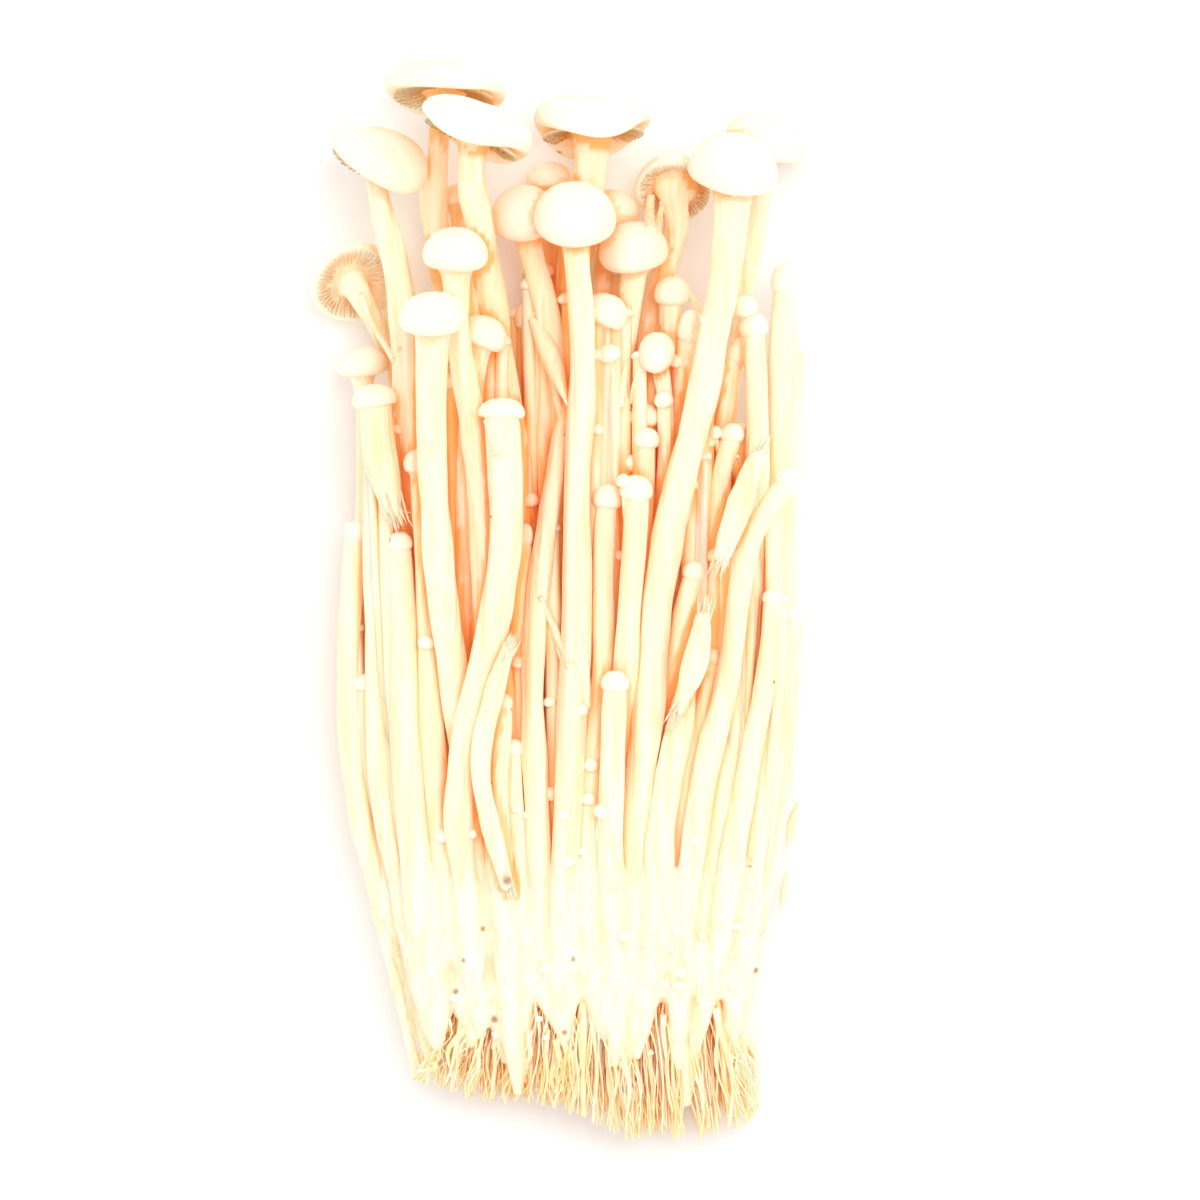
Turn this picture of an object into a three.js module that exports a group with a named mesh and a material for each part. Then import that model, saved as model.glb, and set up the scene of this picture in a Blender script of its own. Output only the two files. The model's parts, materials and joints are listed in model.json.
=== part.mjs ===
// Enoki mushroom bunch, lying on its side as it would on a table.
// Millimetres. +Z is up, +Y runs along the stems from the cut roots to the caps, +X is across.
// Lengths along Y are measured from the tips of the root fringe. The finished group is moved so
// that its origin is the middle of the box that holds it, at table height.
import * as THREE from "three";

// ---------------------------------------------------------------- driving dimensions

const CLEARANCE = 0.5; // gap kept between neighbouring beads, a little less between the skins
const BASE_FOOT = 10; // lower end of the fused base, where the root fringe begins
const BASE_CROWN = 34; // upper end of the fused base, where single stems leave it
const STEM_START = BASE_CROWN + 0.55; // lowest ring of a stem, clear of the base
const BASE_HEIGHT = 18; // thickness of the fused base as it lies
const LAYER_ZERO = 3; // height of the lowest layer of stems above the table
const LAYER_RISE = 4; // from one layer of stems to the next

const BEAD_STEP = 2; // spacing of the beads that keep stems apart while the bunch settles
const SETTLE_ROUNDS = 320;
const FINAL_ROUNDS = 80; // last rounds, with no smoothing
const TABLE_GAP = 0.45; // least height of a bead above the table
const CAP_PULL_LENGTH = 18; // how far down its stem the push on a cap is felt
const RANK_GAP = 0.3; // layers apart from which two crossing stems keep their order
const ALONG_SHARE = 0.25; // share of a push that may move a stem along itself
const RING_STEP = 8; // spacing of the rings that a stem is lofted through
const FLARE_LENGTH = 3; // length over which a stem widens into the gills
const BROAD_SIDES = 10; // sides of a stem with a broad cap
const SLENDER_SIDES = 7;

const IVORY = new THREE.MeshStandardMaterial({ color: 0xfbf3dc, roughness: 0.5, metalness: 0 });
const PALE_BASE = new THREE.MeshStandardMaterial({ color: 0xf8efd8, roughness: 0.7, metalness: 0 });
const STRAW = new THREE.MeshStandardMaterial({ color: 0xe6cd8a, roughness: 0.75, metalness: 0 });

// Cap outlines from the stem outwards, round the rim and up to the crown, as
// [fraction of the cap's radius, fraction of its height].
const OPEN_CAP = [[0.62, 0.2], [0.93, 0.02], [1, 0.2], [0.94, 0.48], [0.74, 0.77], [0.4, 0.95]];
const BUTTON_CAP = [[0.72, 0.03], [0.95, 0.16], [1, 0.38], [0.9, 0.66], [0.64, 0.88], [0.32, 0.98]];
const OPEN_JOIN = 0.34; // how far up an open cap its stem ends, as a fraction of its height
const BUTTON_JOIN = 0.1;
const CAP_MIDDLE = 0.45; // height of a cap's visual middle above its rim

// ---------------------------------------------------------------- the mushrooms
// cap: middle as seen from above, width, height, and optional
//   open  0 for a closed button, 1 for a cap with a hollow underside
//   lean  degrees that its axis turns to the left of +Y (otherwise it follows its stem)
//   tilt  degrees that its axis is raised above the table
//   saddle  how far its rim dips in front and behind, and rises at its sides
//   flare  width of the stem where it runs out into the gills, if it widens there
// stem: width at the foot and under the cap
// route: points [x, y] from the foot up, with an optional layer of their own

const BROAD = [
  {
    layer: 1, stem: [3, 3.7],
    cap: { at: [-16.8, 146.4], width: 17.4, height: 5.8, open: 1, lean: -3, tilt: -12, saddle: 1 },
    route: [[-12, 34], [-12.5, 45], [-14, 60], [-14.6, 80], [-15, 100], [-15.8, 114], [-17.4, 124],
      [-18.6, 131.5], [-17.8, 137.5]],
  },
  {
    layer: 2, stem: [3.2, 4.3],
    cap: { at: [-12.2, 143.8], width: 17, height: 6, open: 1, lean: -23, tilt: -4, saddle: 1.7 },
    route: [[-5.8, 34], [-6, 50], [-6.3, 70], [-6, 91], [-6.4, 98], [-8.2, 105], [-9, 110],
      [-10.7, 120], [-11.9, 128], [-11.6, 132], [-11, 136.6]],
  },
  {
    layer: 2, stem: [3, 4.2],
    cap: { at: [-24.9, 138.5], width: 14.8, height: 6.4, open: 0.6, lean: -27, tilt: 20, saddle: 0.8 },
    route: [[-17.5, 34], [-18.5, 50], [-19, 70], [-19.8, 88], [-20.4, 97], [-21.3, 105],
      [-22, 111.4], [-21.8, 120], [-22.6, 124], [-24.2, 130]],
  },
  {
    layer: 0.2, stem: [2.4, 2.6],
    cap: { at: [-30, 121.3], width: 12.6, height: 4.8, open: 1, lean: 35, tilt: -56, flare: 4.4 },
    route: [[-22, 34], [-23, 50], [-23.6, 70], [-23.2, 88], [-22.8, 100], [-23.6, 110],
      [-25.5, 113.5]],
  },
  {
    layer: 1, stem: [3.4, 4.8],
    cap: { at: [4.4, 143.4], width: 17, height: 6.4, open: 1, lean: 3, tilt: -8, saddle: 2.4 },
    route: [[0, 34], [1.8, 55], [2, 80], [1.6, 100], [0.8, 112], [0.8, 118], [2.2, 126],
      [3.2, 134.6]],
  },
  {
    layer: 0.8, stem: [2, 3.4],
    cap: { at: [14.2, 134.4], width: 11.4, height: 4.6, open: 1, lean: -8, tilt: -50, flare: 6.4 },
    route: [[6.5, 34], [7, 60], [8, 80], [9.5, 100], [10.3, 108], [11.3, 114.8], [12, 118.7],
      [13.3, 122.5], [15, 128]],
  },
  {
    layer: 3, stem: [3.2, 4.7],
    cap: { at: [24.3, 137], width: 12.6, height: 7.8, open: 0.4, lean: -8, tilt: 22 },
    route: [[10, 34], [10, 45], [10.7, 50], [12.1, 60.6], [12.8, 71], [14.5, 83], [16.7, 93.5],
      [19.5, 103.7], [21.2, 113], [23, 121], [24.6, 129]],
  },
  {
    layer: 1, stem: [2.2, 2.4],
    cap: { at: [28.8, 141.2], width: 12.6, height: 6.8, open: 0.5, lean: -12, tilt: 12 },
    route: [[18.5, 34], [19, 50], [20, 70], [21.5, 85], [23.2, 100], [24.5, 110], [25.5, 120],
      [27, 126], [28, 130]],
  },
];

const BUTTONS = [
  {
    layer: 3.2, stem: [3.2, 3.6],
    cap: { at: [2, 129.8], width: 11.9, height: 7.8, lean: 0, tilt: 28 },
    route: [[1.2, 34], [1.8, 48], [1.7, 58], [2.2, 75.5], [2, 88.4], [2.6, 101], [3.2, 106],
      [3, 114.8], [2.6, 121]],
  },
  {
    layer: 2, stem: [3, 3.7],
    cap: { at: [-5.3, 130.2], width: 9.5, height: 6.8, lean: 8, tilt: 28 },
    route: [[-0.5, 34], [-1, 50], [-0.8, 70], [0, 88], [0.4, 98], [0, 106], [-1.3, 114], [-3, 120],
      [-3.8, 125]],
  },
  {
    layer: 2.5, stem: [2.6, 3.4],
    cap: { at: [-13.7, 124.6], width: 9.4, height: 5.9, lean: 0, tilt: 14 },
    route: [[-8.7, 34], [-9.8, 50], [-10.8, 70], [-11, 85], [-11.6, 98], [-12.6, 106],
      [-13.5, 114], [-14, 119]],
  },
  {
    layer: 3, stem: [3, 4.2],
    cap: { at: [-16.8, 115.4], width: 10, height: 6, lean: 2, tilt: 12 },
    route: [[-10.5, 34], [-12.3, 45], [-13.6, 56], [-14.5, 64], [-15.9, 73.4], [-16.9, 83],
      [-17, 91], [-17.2, 103.7], [-17.5, 110]],
  },
  {
    layer: 2.4, stem: [2.6, 3.2],
    cap: { at: [-11.2, 113.4], width: 7.2, height: 4.6, lean: -22, tilt: 5 },
    route: [[-14.6, 34], [-14.8, 45], [-14, 56], [-13.2, 66], [-12.8, 78], [-13, 96],
      [-12.9, 107]],
  },
  {
    layer: 3.4, stem: [2.4, 4.5],
    cap: { at: [-9.7, 102.4], width: 6.9, height: 3.4, open: 0.3, lean: 0, tilt: 0 },
    route: [[-12.9, 34], [-14.4, 45], [-14.2, 52], [-12.9, 60], [-10.9, 68], [-9.4, 75],
      [-8.5, 82], [-8.4, 89.9], [-9.1, 96]],
  },
  {
    layer: 0.6, stem: [2.8, 3],
    cap: { at: [7.6, 131.2], width: 8, height: 5.6, lean: -10, tilt: 8 },
    route: [[3.5, 34], [4, 60], [4.6, 85], [5.2, 105], [6.2, 120], [7, 126]],
  },
  {
    layer: 2, stem: [3, 3.4],
    cap: { at: [10, 125.4], width: 10, height: 6.4, lean: 8, tilt: 18 },
    route: [[2.8, 34], [3.6, 50], [4.4, 70], [5.3, 86], [5.8, 93.5], [6.6, 98.6], [7.5, 103.7],
      [8, 108], [8.8, 114], [9.2, 120]],
  },
  {
    layer: 1.6, stem: [2.6, 3.2],
    cap: { at: [-4.3, 115.9], width: 5, height: 4.4, tilt: 10 },
    route: [[-3, 34], [-3.6, 55], [-3.8, 75], [-3.2, 90], [-2.6, 98], [-3, 106], [-3.7, 112]],
  },
  {
    layer: 3.1, stem: [2.6, 2.8],
    cap: { at: [5, 116.4], width: 6.8, height: 4.8, lean: -20, tilt: 0 },
    route: [[-2.6, 34], [-3.8, 50], [-4.4, 60], [-4.3, 68], [-3.7, 78], [-3, 83.2], [-2.1, 88.4],
      [-1.2, 93.5], [-0.2, 98.6], [0.9, 105, 2.8], [3, 110, 2.2], [4.2, 113, 2]],
  },
  {
    layer: 1.4, stem: [2.2, 3.2],
    cap: { at: [15.4, 119.2], width: 5.2, height: 4.2, tilt: 8 },
    route: [[9, 34], [10, 50], [11, 70], [12.5, 90], [14, 102], [15.2, 110], [15.5, 116]],
  },
  {
    layer: 2.3, stem: [1.9, 2.2],
    cap: { at: [13.3, 110.4], width: 5, height: 6.6, lean: 175, tilt: 62 },
    route: [[11, 34], [12, 60], [12.8, 80], [14.6, 95], [14.4, 104]],
  },
  {
    layer: 1.6, stem: [2, 2.6],
    cap: { at: [17.4, 114.2], width: 3.6, height: 4.6, tilt: 10 },
    route: [[15.5, 34], [15.5, 50], [15, 70], [15, 90], [16, 104], [17, 110]],
  },
];

const SLENDER = [
  {
    layer: 1, stem: [2.6, 2.6], cap: { at: [-28, 109.4], width: 7.5, height: 4.3, lean: 5 },
    route: [[-23.5, 34], [-27, 48], [-28, 60], [-28, 72], [-27.5, 90], [-27, 101], [-27.1, 106]],
  },
  {
    layer: 2.6, stem: [2.6, 2.6], cap: { at: [-25.5, 86.9], width: 3.9, height: 2.9 },
    route: [[-22, 34], [-24, 42], [-25.4, 50], [-26, 60], [-26, 70], [-25.5, 80], [-25.6, 84]],
  },
  {
    layer: 3, stem: [4, 3], cap: { at: [-21.9, 84.2], width: 3.5, height: 2.6 },
    route: [[-19, 34], [-20.6, 48], [-21.3, 58], [-21.5, 67], [-21.4, 75.5], [-21.6, 81]],
  },
  {
    layer: 3, stem: [3, 2.2], cap: { at: [-20.5, 95.3], width: 3.9, height: 3.1 },
    route: [[-15.9, 34], [-17.6, 48], [-18.4, 60], [-18.8, 72], [-19.8, 85], [-20, 92]],
  },
  {
    layer: 1.6, stem: [2.8, 3], cap: { at: [-28.2, 85.6], width: 3.6, height: 2.7 },
    route: [[-25, 34], [-28, 45], [-29.5, 55], [-29.9, 65], [-29.3, 75], [-28.4, 82]],
  },
  {
    layer: 2, stem: [2.6, 2.4], cap: { at: [-23.4, 78.5], width: 3.2, height: 2.4 },
    route: [[-20.6, 34], [-22.8, 48], [-23.6, 60], [-23.5, 74]],
  },
  {
    layer: 1.6, stem: [2.2, 2.2], cap: { at: [24.6, 111], width: 2.8, height: 4, lean: -25 },
    route: [[21.2, 34], [21.6, 50], [21.5, 70], [21.4, 85], [22, 98], [23, 103.7], [23.8, 107.6]],
  },
  {
    layer: 2, stem: [2.6, 3], cap: { at: [27.3, 114.5], width: 4.2, height: 3.5 },
    route: [[24.2, 34], [25, 50], [26, 70], [27.5, 88], [28.2, 98], [27.6, 106], [27.6, 112]],
  },
  {
    layer: 2, stem: [3, 3.2], cap: { at: [31.2, 121], width: 4.4, height: 4.6, lean: -5 },
    route: [[22.8, 34], [25.5, 50], [28, 66], [29.2, 80], [29.6, 90], [30, 100], [30.6, 112],
      [30.6, 118]],
  },
  {
    layer: 1.2, stem: [2.4, 2.4], cap: { at: [33, 112.2], width: 3, height: 2.6 },
    route: [[27.6, 34], [29, 50], [30.5, 65], [31.2, 80], [31.8, 95], [32.4, 108]],
  },
  {
    layer: 1.6, stem: [2.2, 2.6], cap: { at: [12.3, 101.9], width: 4.8, height: 3.6 },
    route: [[6, 34], [7.5, 50], [9, 70], [10.8, 86], [12, 96], [12.2, 99]],
  },
  {
    layer: 2.6, stem: [2.2, 2.1], cap: { at: [12.2, 98.5], width: 3.7, height: 2.8 },
    route: [[8.4, 34], [9.2, 45], [10.4, 60], [11.4, 74], [11.9, 84], [12.2, 95]],
  },
  {
    layer: 3, stem: [3.2, 2.7], cap: { at: [6.4, 90.4], width: 4.6, height: 3.4 },
    route: [[4.3, 34], [4.8, 50], [5.9, 60], [6.3, 68], [5.8, 77], [5.9, 83], [6.1, 88]],
  },
  {
    layer: 3, stem: [2.8, 2.7], cap: { at: [10.7, 91.5], width: 4.6, height: 3.3 },
    route: [[5.5, 34, 2], [7.8, 46, 2], [9, 58, 2.2], [9.2, 67], [9.6, 74], [10.2, 83],
      [10.6, 89]],
  },
  {
    layer: 3.2, stem: [2.6, 2.6], cap: { at: [8.1, 64.8], width: 3.8, height: 2.7 },
    route: [[7.2, 34], [7.2, 45], [7.4, 53], [7.7, 58], [8, 63]],
  },
  {
    layer: 2.2, stem: [1.9, 1.9], cap: { at: [-5.2, 85], width: 2.2, height: 3.2 },
    route: [[-4.6, 34], [-5.2, 50], [-6.1, 66], [-6.2, 75.5], [-5.6, 82]],
  },
  {
    layer: 2, stem: [2.4, 2.4], cap: { at: [18.3, 87.2], width: 3.1, height: 2.7 },
    route: [[12.5, 34], [13.6, 48], [15.8, 62], [17.2, 74], [18, 83]],
  },
  {
    layer: 3, stem: [2.6, 2.6], cap: { at: [18.3, 80], width: 3.3, height: 2.6 },
    route: [[11.8, 34, 2.2], [13, 48, 2.4], [14.2, 58, 2.6], [15.1, 64.5], [16.8, 73],
      [17.9, 78]],
  },
  {
    layer: 2, stem: [2.6, 2.5], cap: { at: [23.8, 99.4], width: 3.6, height: 2.8 },
    route: [[14.6, 34], [16.4, 48], [18.2, 60], [19.8, 73], [21.2, 84], [21.6, 92], [22.6, 97]],
  },
  {
    layer: 2.6, stem: [2.8, 2.8], cap: { at: [32.5, 74.2], width: 3.4, height: 2.6 },
    route: [[26, 34], [27, 45], [28, 55], [30, 63], [32, 70]],
  },
  {
    layer: 2.8, stem: [2.6, 2], cap: { at: [29.4, 76.4], width: 2.8, height: 2.2 },
    route: [[22.6, 34], [24.6, 45], [26.2, 54], [28.2, 64], [29.6, 72]],
  },
  {
    layer: 2.8, stem: [2.6, 2.2], cap: { at: [21.4, 68.1], width: 2.8, height: 2.3 },
    route: [[16, 34], [16.6, 45], [18.7, 55], [20.8, 63], [21.2, 66]],
  },
  {
    layer: 2.8, stem: [3, 2.6], cap: { at: [23.7, 71.3], width: 2.9, height: 2.3 },
    route: [[18.4, 34, 2], [19.4, 45, 2], [21.6, 55, 2.2], [23.6, 64], [24, 69]],
  },
  {
    layer: 3, stem: [2.8, 2.4], cap: { at: [-7.9, 61.8], width: 2.6, height: 2.2 },
    route: [[-7.2, 34], [-8.5, 45], [-8.9, 53], [-7.9, 60]],
  },
  {
    layer: 3, stem: [2.2, 1.8], cap: { at: [-5.4, 55.5], width: 2.3, height: 2.4 },
    route: [[-5, 34], [-5.9, 45], [-6, 50.4], [-5.5, 54]],
  },
  {
    layer: 0.5, stem: [2.2, 2.6], cap: { at: [-14.7, 132.6], width: 5.4, height: 3.8, tilt: -20 },
    route: [[-8, 34], [-9.5, 60], [-11, 85], [-12.8, 105], [-14, 122], [-14.4, 129]],
  },
  {
    layer: 0.5, stem: [2.4, 2.8], cap: { at: [-1.7, 135.4], width: 6.6, height: 4.4, tilt: -8 },
    route: [[-3.6, 34], [-3.5, 60], [-3, 85], [-2.4, 105], [-1.8, 120], [-1.6, 131]],
  },
  {
    layer: 3.4, stem: [2.7, 2.7], cap: { at: [31.6, 92.6], width: 4.2, height: 3, lean: -48 },
    route: [[17.2, 34, 1.4], [20, 50, 1.4], [23.4, 64, 1.8], [24.8, 77, 2.8], [25, 83], [27, 86.6],
      [29.4, 89.4]],
  },
];

// Stems broken off during picking. They lie among the others and don't reach the base.
const BROKEN = [
  {
    layer: 3, stem: [5, 4], cap: { at: [-26, 104.4], width: 6.6, height: 3.6, open: 0.2 },
    route: [[-23.4, 88.6], [-24, 91.5], [-25.1, 95], [-25.8, 98.6], [-26.1, 101.7]],
  },
  { layer: 3.8, stem: [3.2, 3.4], route: [[22.7, 82], [25, 89], [27.6, 96]] },
  { layer: 4, stem: [2.6, 3], route: [[16.2, 61], [17.4, 63.4], [18.9, 68.3], [19.7, 73.5]] },
  {
    layer: 4, stem: [1.8, 2.6],
    route: [[-7.6, 37], [-10.3, 45], [-11.5, 50], [-11.9, 55], [-10.9, 60], [-8.1, 68.5]],
  },
];

// Whole stems whose caps have been torn away.
const TOPLESS = [
  { layer: 3, stem: [3.4, 3], route: [[13.2, 34], [13, 45], [15.2, 54], [16.2, 59], [17, 64]] },
  { layer: 3, stem: [3.8, 3.8], route: [[19.2, 34], [19.6, 40], [21.4, 46], [23.7, 57.5]] },
];

// ---------------------------------------------------------------- growing a mushroom

const radians = THREE.MathUtils.degToRad;
const mix = THREE.MathUtils.lerp;

function layerHeight(layer) {
  return LAYER_ZERO + layer * LAYER_RISE;
}

// Unit vector along a cap's axis, from its stem to its crown.
function capAxis(cap, route) {
  const [[x0, y0], [x1, y1]] = route.slice(-2);
  const lean = cap.lean ?? THREE.MathUtils.radToDeg(Math.atan2(x0 - x1, y1 - y0));
  const tilt = radians(cap.tilt ?? 8);
  const turn = radians(lean);
  return new THREE.Vector3(
    -Math.sin(turn) * Math.cos(tilt),
    Math.cos(turn) * Math.cos(tilt),
    Math.sin(tilt),
  );
}

// The rings of a cap, each with its distance from the rim along the axis and its radius.
function capRings(cap) {
  const open = cap.open ?? 0;
  return OPEN_CAP.map(([openRadius, openHeight], i) => ({
    along: mix(BUTTON_CAP[i][1], openHeight, open) * cap.height,
    radius: (mix(BUTTON_CAP[i][0], openRadius, open) * cap.width) / 2,
  }));
}

// Round beads that fill a cap, as offsets from the middle of its rim.
function capBeads(cap, axis) {
  const radius = cap.width / 2;
  const bead = Math.min(cap.height * 0.48, radius);
  const side = new THREE.Vector3(1, 0, 0).addScaledVector(axis, -axis.x).normalize();
  const across = new THREE.Vector3().crossVectors(axis, side);
  const middle = axis.clone().multiplyScalar(cap.height * 0.5);
  const beads = [{ offset: middle, radius: bead }];
  for (const reach of [radius - bead, (radius - bead) / 2]) {
    const count = Math.ceil((2 * Math.PI * reach) / bead);
    for (let i = 0; i < count && reach > 0.3; i += 1) {
      const angle = (2 * Math.PI * i) / count;
      const offset = middle.clone()
        .addScaledVector(side, reach * Math.cos(angle))
        .addScaledVector(across, reach * Math.sin(angle));
      beads.push({ offset, radius: bead });
    }
  }
  return beads;
}

// A stem as a chain of beads, with the beads of its cap at the end.
function plant({ name, layer, stem, cap, route, rooted }) {
  const points = route.map(([x, y, own]) => new THREE.Vector3(x, y, layerHeight(own ?? layer)));
  if (rooted) points[0].y = STEM_START;
  const plan = { name, stem, cap, rooted, beads: [] };
  if (cap) {
    const axis = capAxis(cap, route);
    const join = mix(BUTTON_JOIN, OPEN_JOIN, cap.open ?? 0) * cap.height;
    const lowest = (cap.width / 2) * Math.hypot(axis.x, axis.y) + 0.3;
    const middle = new THREE.Vector3(...cap.at, Math.max(layerHeight(layer), lowest));
    const rim = middle.addScaledVector(axis, -CAP_MIDDLE * cap.height);
    const end = rim.clone().addScaledVector(axis, join);
    const neck = end.clone().addScaledVector(axis, -0.3 * cap.width);
    while (points.length > 2 && points.at(-1).distanceTo(neck) < 0.3 * cap.width) points.pop();
    points.push(neck, end);
    plan.axis = axis;
    plan.join = join;
    plan.beads = capBeads(cap, axis);
  }
  const curve = new THREE.CatmullRomCurve3(points, false, "centripetal");
  const steps = Math.max(4, Math.round(curve.getLength() / BEAD_STEP));
  plan.start = curve.getSpacedPoints(steps);
  plan.chain = plan.start.map((point) => point.clone());
  plan.radii = plan.chain.map((_, i) => mix(stem[0], stem[1], i / steps) / 2);
  plan.layer = layer;
  return plan;
}

// ---------------------------------------------------------------- settling the bunch

// Every bead of the bunch: its place, its radius, its mushroom and its link of the chain.
function listBeads(plans) {
  const beads = [];
  plans.forEach((plan, owner) => {
    plan.chain.forEach((point, link) => {
      beads.push({ at: point.clone(), radius: plan.radii[link], owner, link });
    });
    const rim = plan.cap && plan.chain.at(-1).clone().addScaledVector(plan.axis, -plan.join);
    for (const { offset, radius } of plan.beads) {
      beads.push({ at: rim.clone().add(offset), radius, owner, link: -1 });
    }
  });
  return beads;
}

const CELL = 9; // wider than any two touching beads
function cellKey(x, y, z) {
  return (x * 512 + y) * 64 + z;
}

function sortIntoCells(beads) {
  const cells = new Map();
  beads.forEach((bead) => {
    bead.cell = bead.at.toArray().map((value) => Math.floor(value / CELL) + 16);
    const key = cellKey(...bead.cell);
    if (!cells.has(key)) cells.set(key, []);
    cells.get(key).push(bead);
  });
  return cells;
}

function* neighbours(bead, cells) {
  const [cx, cy, cz] = bead.cell;
  for (let x = cx - 1; x <= cx + 1; x += 1) {
    for (let y = cy - 1; y <= cy + 1; y += 1) {
      for (let z = cz - 1; z <= cz + 1; z += 1) {
        yield* cells.get(cellKey(x, y, z)) ?? [];
      }
    }
  }
}

// How far and which way two beads push each other: mostly up and down, so that stems keep
// their places across the bunch, and along their layers' order where they cross.
function push(bead, other, plans) {
  const apart = bead.at.clone().sub(other.at);
  const lack = bead.radius + other.radius + CLEARANCE - apart.length();
  if (lack <= 0) return null;
  const rank = plans[bead.owner].layer - plans[other.owner].layer;
  const ranked = Math.abs(rank) > RANK_GAP;
  const aside = ranked ? 0.4 : 0.7;
  const way = new THREE.Vector3(apart.x * aside, apart.y * ALONG_SHARE, apart.z);
  if (ranked) {
    way.z = Math.sign(rank) * Math.max(Math.abs(apart.z), 0.6 * Math.abs(apart.x), 0.2);
  }
  return way.normalize().multiplyScalar(lack / 2);
}

function settleOnce(plans, smooth) {
  const beads = listBeads(plans);
  const cells = sortIntoCells(beads);
  const moves = plans.map((plan) => plan.chain.map(() => ({ sum: new THREE.Vector3(), count: 0 })));
  const capMoves = plans.map(() => ({ sum: new THREE.Vector3(), count: 0 }));
  for (const bead of beads) {
    const total = bead.link < 0 ? capMoves[bead.owner] : moves[bead.owner][bead.link];
    for (const other of neighbours(bead, cells)) {
      if (other.owner === bead.owner) continue;
      const shift = push(bead, other, plans);
      if (!shift) continue;
      total.sum.add(shift);
      total.count += 1;
    }
    const sunk = bead.radius + TABLE_GAP - bead.at.z;
    if (sunk > 0) {
      total.sum.z += sunk;
      total.count += 1;
    }
  }
  plans.forEach((plan, owner) => {
    const last = plan.chain.length - 1;
    const cap = capMoves[owner];
    const pull = cap.sum.divideScalar(Math.max(1, Math.sqrt(cap.count)));
    plan.chain.forEach((point, link) => {
      const { sum, count } = moves[owner][link];
      point.addScaledVector(sum, 1 / Math.max(1, count));
      const reach = Math.exp((-(last - link) * BEAD_STEP) / CAP_PULL_LENGTH);
      point.addScaledVector(pull, reach * 0.5);
    });
    if (smooth) relaxChain(plan);
    if (plan.rooted) holdRoot(plan);
  });
}

// Evens out a chain's bends and draws it softly back to where it grew.
function relaxChain({ chain, start }) {
  const away = chain.map((point, i) => point.clone().sub(start[i]));
  for (let pass = 0; pass < 3; pass += 1) {
    const before = away.map((offset) => offset.clone());
    away.forEach((offset, i) => {
      const low = before[Math.max(0, i - 1)];
      const high = before[Math.min(before.length - 1, i + 1)];
      offset.lerp(low.clone().add(high).multiplyScalar(0.5), 0.5);
    });
  }
  chain.forEach((point, i) => {
    const offset = away[i];
    point.copy(start[i]).add(new THREE.Vector3(offset.x * 0.985, offset.y * 0.97, offset.z * 0.998));
  });
}

// A stem's foot stays on the crown of the base and inside its outline.
function holdRoot({ chain, radii }) {
  const foot = chain[0];
  foot.y = STEM_START;
  foot.z = THREE.MathUtils.clamp(foot.z, radii[0], BASE_HEIGHT - radii[0]);
}

function settle(plans) {
  for (let round = 0; round < SETTLE_ROUNDS; round += 1) settleOnce(plans, true);
  for (let round = 0; round < FINAL_ROUNDS; round += 1) settleOnce(plans, false);
}

// ---------------------------------------------------------------- skinning

// A closed skin over rings of equal size, with a single point at each end.
function skin(firstPole, rings, lastPole) {
  const sides = rings[0].length;
  const points = [firstPole, ...rings.flat(), lastPole];
  const index = [];
  const at = (ring, i) => 1 + ring * sides + (i % sides);
  for (let i = 0; i < sides; i += 1) {
    index.push(0, at(0, i + 1), at(0, i));
    index.push(points.length - 1, at(rings.length - 1, i), at(rings.length - 1, i + 1));
    for (let ring = 0; ring < rings.length - 1; ring += 1) {
      index.push(at(ring, i), at(ring, i + 1), at(ring + 1, i + 1));
      index.push(at(ring, i), at(ring + 1, i + 1), at(ring + 1, i));
    }
  }
  const geometry = new THREE.BufferGeometry().setFromPoints(points);
  geometry.setIndex(index);
  geometry.computeVertexNormals();
  return geometry;
}

// A ring of points round a centre, square to the tangent. The side vector is carried from ring
// to ring, so that the skin doesn't twist.
function ringAround(centre, tangent, radius, sides, side, saddle = 0) {
  side.addScaledVector(tangent, -side.dot(tangent)).normalize();
  const across = new THREE.Vector3().crossVectors(tangent, side);
  return Array.from({ length: sides }, (_, i) => {
    const angle = (2 * Math.PI * i) / sides;
    return centre.clone()
      .addScaledVector(side, radius * Math.cos(angle))
      .addScaledVector(across, radius * Math.sin(angle))
      .addScaledVector(tangent, saddle * Math.cos(2 * angle));
  });
}

function mushroomGeometry(plan, sides) {
  const curve = new THREE.CatmullRomCurve3(plan.chain, false, "centripetal");
  const count = Math.max(3, Math.round(curve.getLength() / RING_STEP));
  const side = new THREE.Vector3(1, 0, 0);
  const rings = [];
  for (let i = 0; i <= count; i += 1) {
    const t = i / count;
    const tangent = curve.getTangentAt(t);
    if (i === count && plan.cap) tangent.copy(plan.axis);
    const radius = mix(plan.stem[0], plan.stem[1], t) / 2;
    if (i === count && plan.cap?.flare) {
      const below = 1 - FLARE_LENGTH / curve.getLength();
      rings.push(ringAround(curve.getPointAt(below), curve.getTangentAt(below), radius, sides, side));
    }
    const end = i === count && plan.cap?.flare ? plan.cap.flare / 2 : radius;
    rings.push(ringAround(curve.getPointAt(t), tangent, end, sides, side));
  }
  const foot = curve.getPointAt(0);
  const firstPole = foot.clone().addScaledVector(curve.getTangentAt(0), -0.1);
  const top = curve.getPointAt(1);
  if (!plan.cap) return skin(firstPole, rings, top.addScaledVector(curve.getTangentAt(1), 0.2));
  const rim = top.addScaledVector(plan.axis, -plan.join);
  for (const { along, radius } of capRings(plan.cap)) {
    const centre = rim.clone().addScaledVector(plan.axis, along);
    const saddle = (plan.cap.saddle ?? 0) * (radius / (plan.cap.width / 2)) ** 2;
    rings.push(ringAround(centre, plan.axis, radius, sides, side, saddle));
  }
  return skin(firstPole, rings, rim.clone().addScaledVector(plan.axis, plan.cap.height));
}

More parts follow.
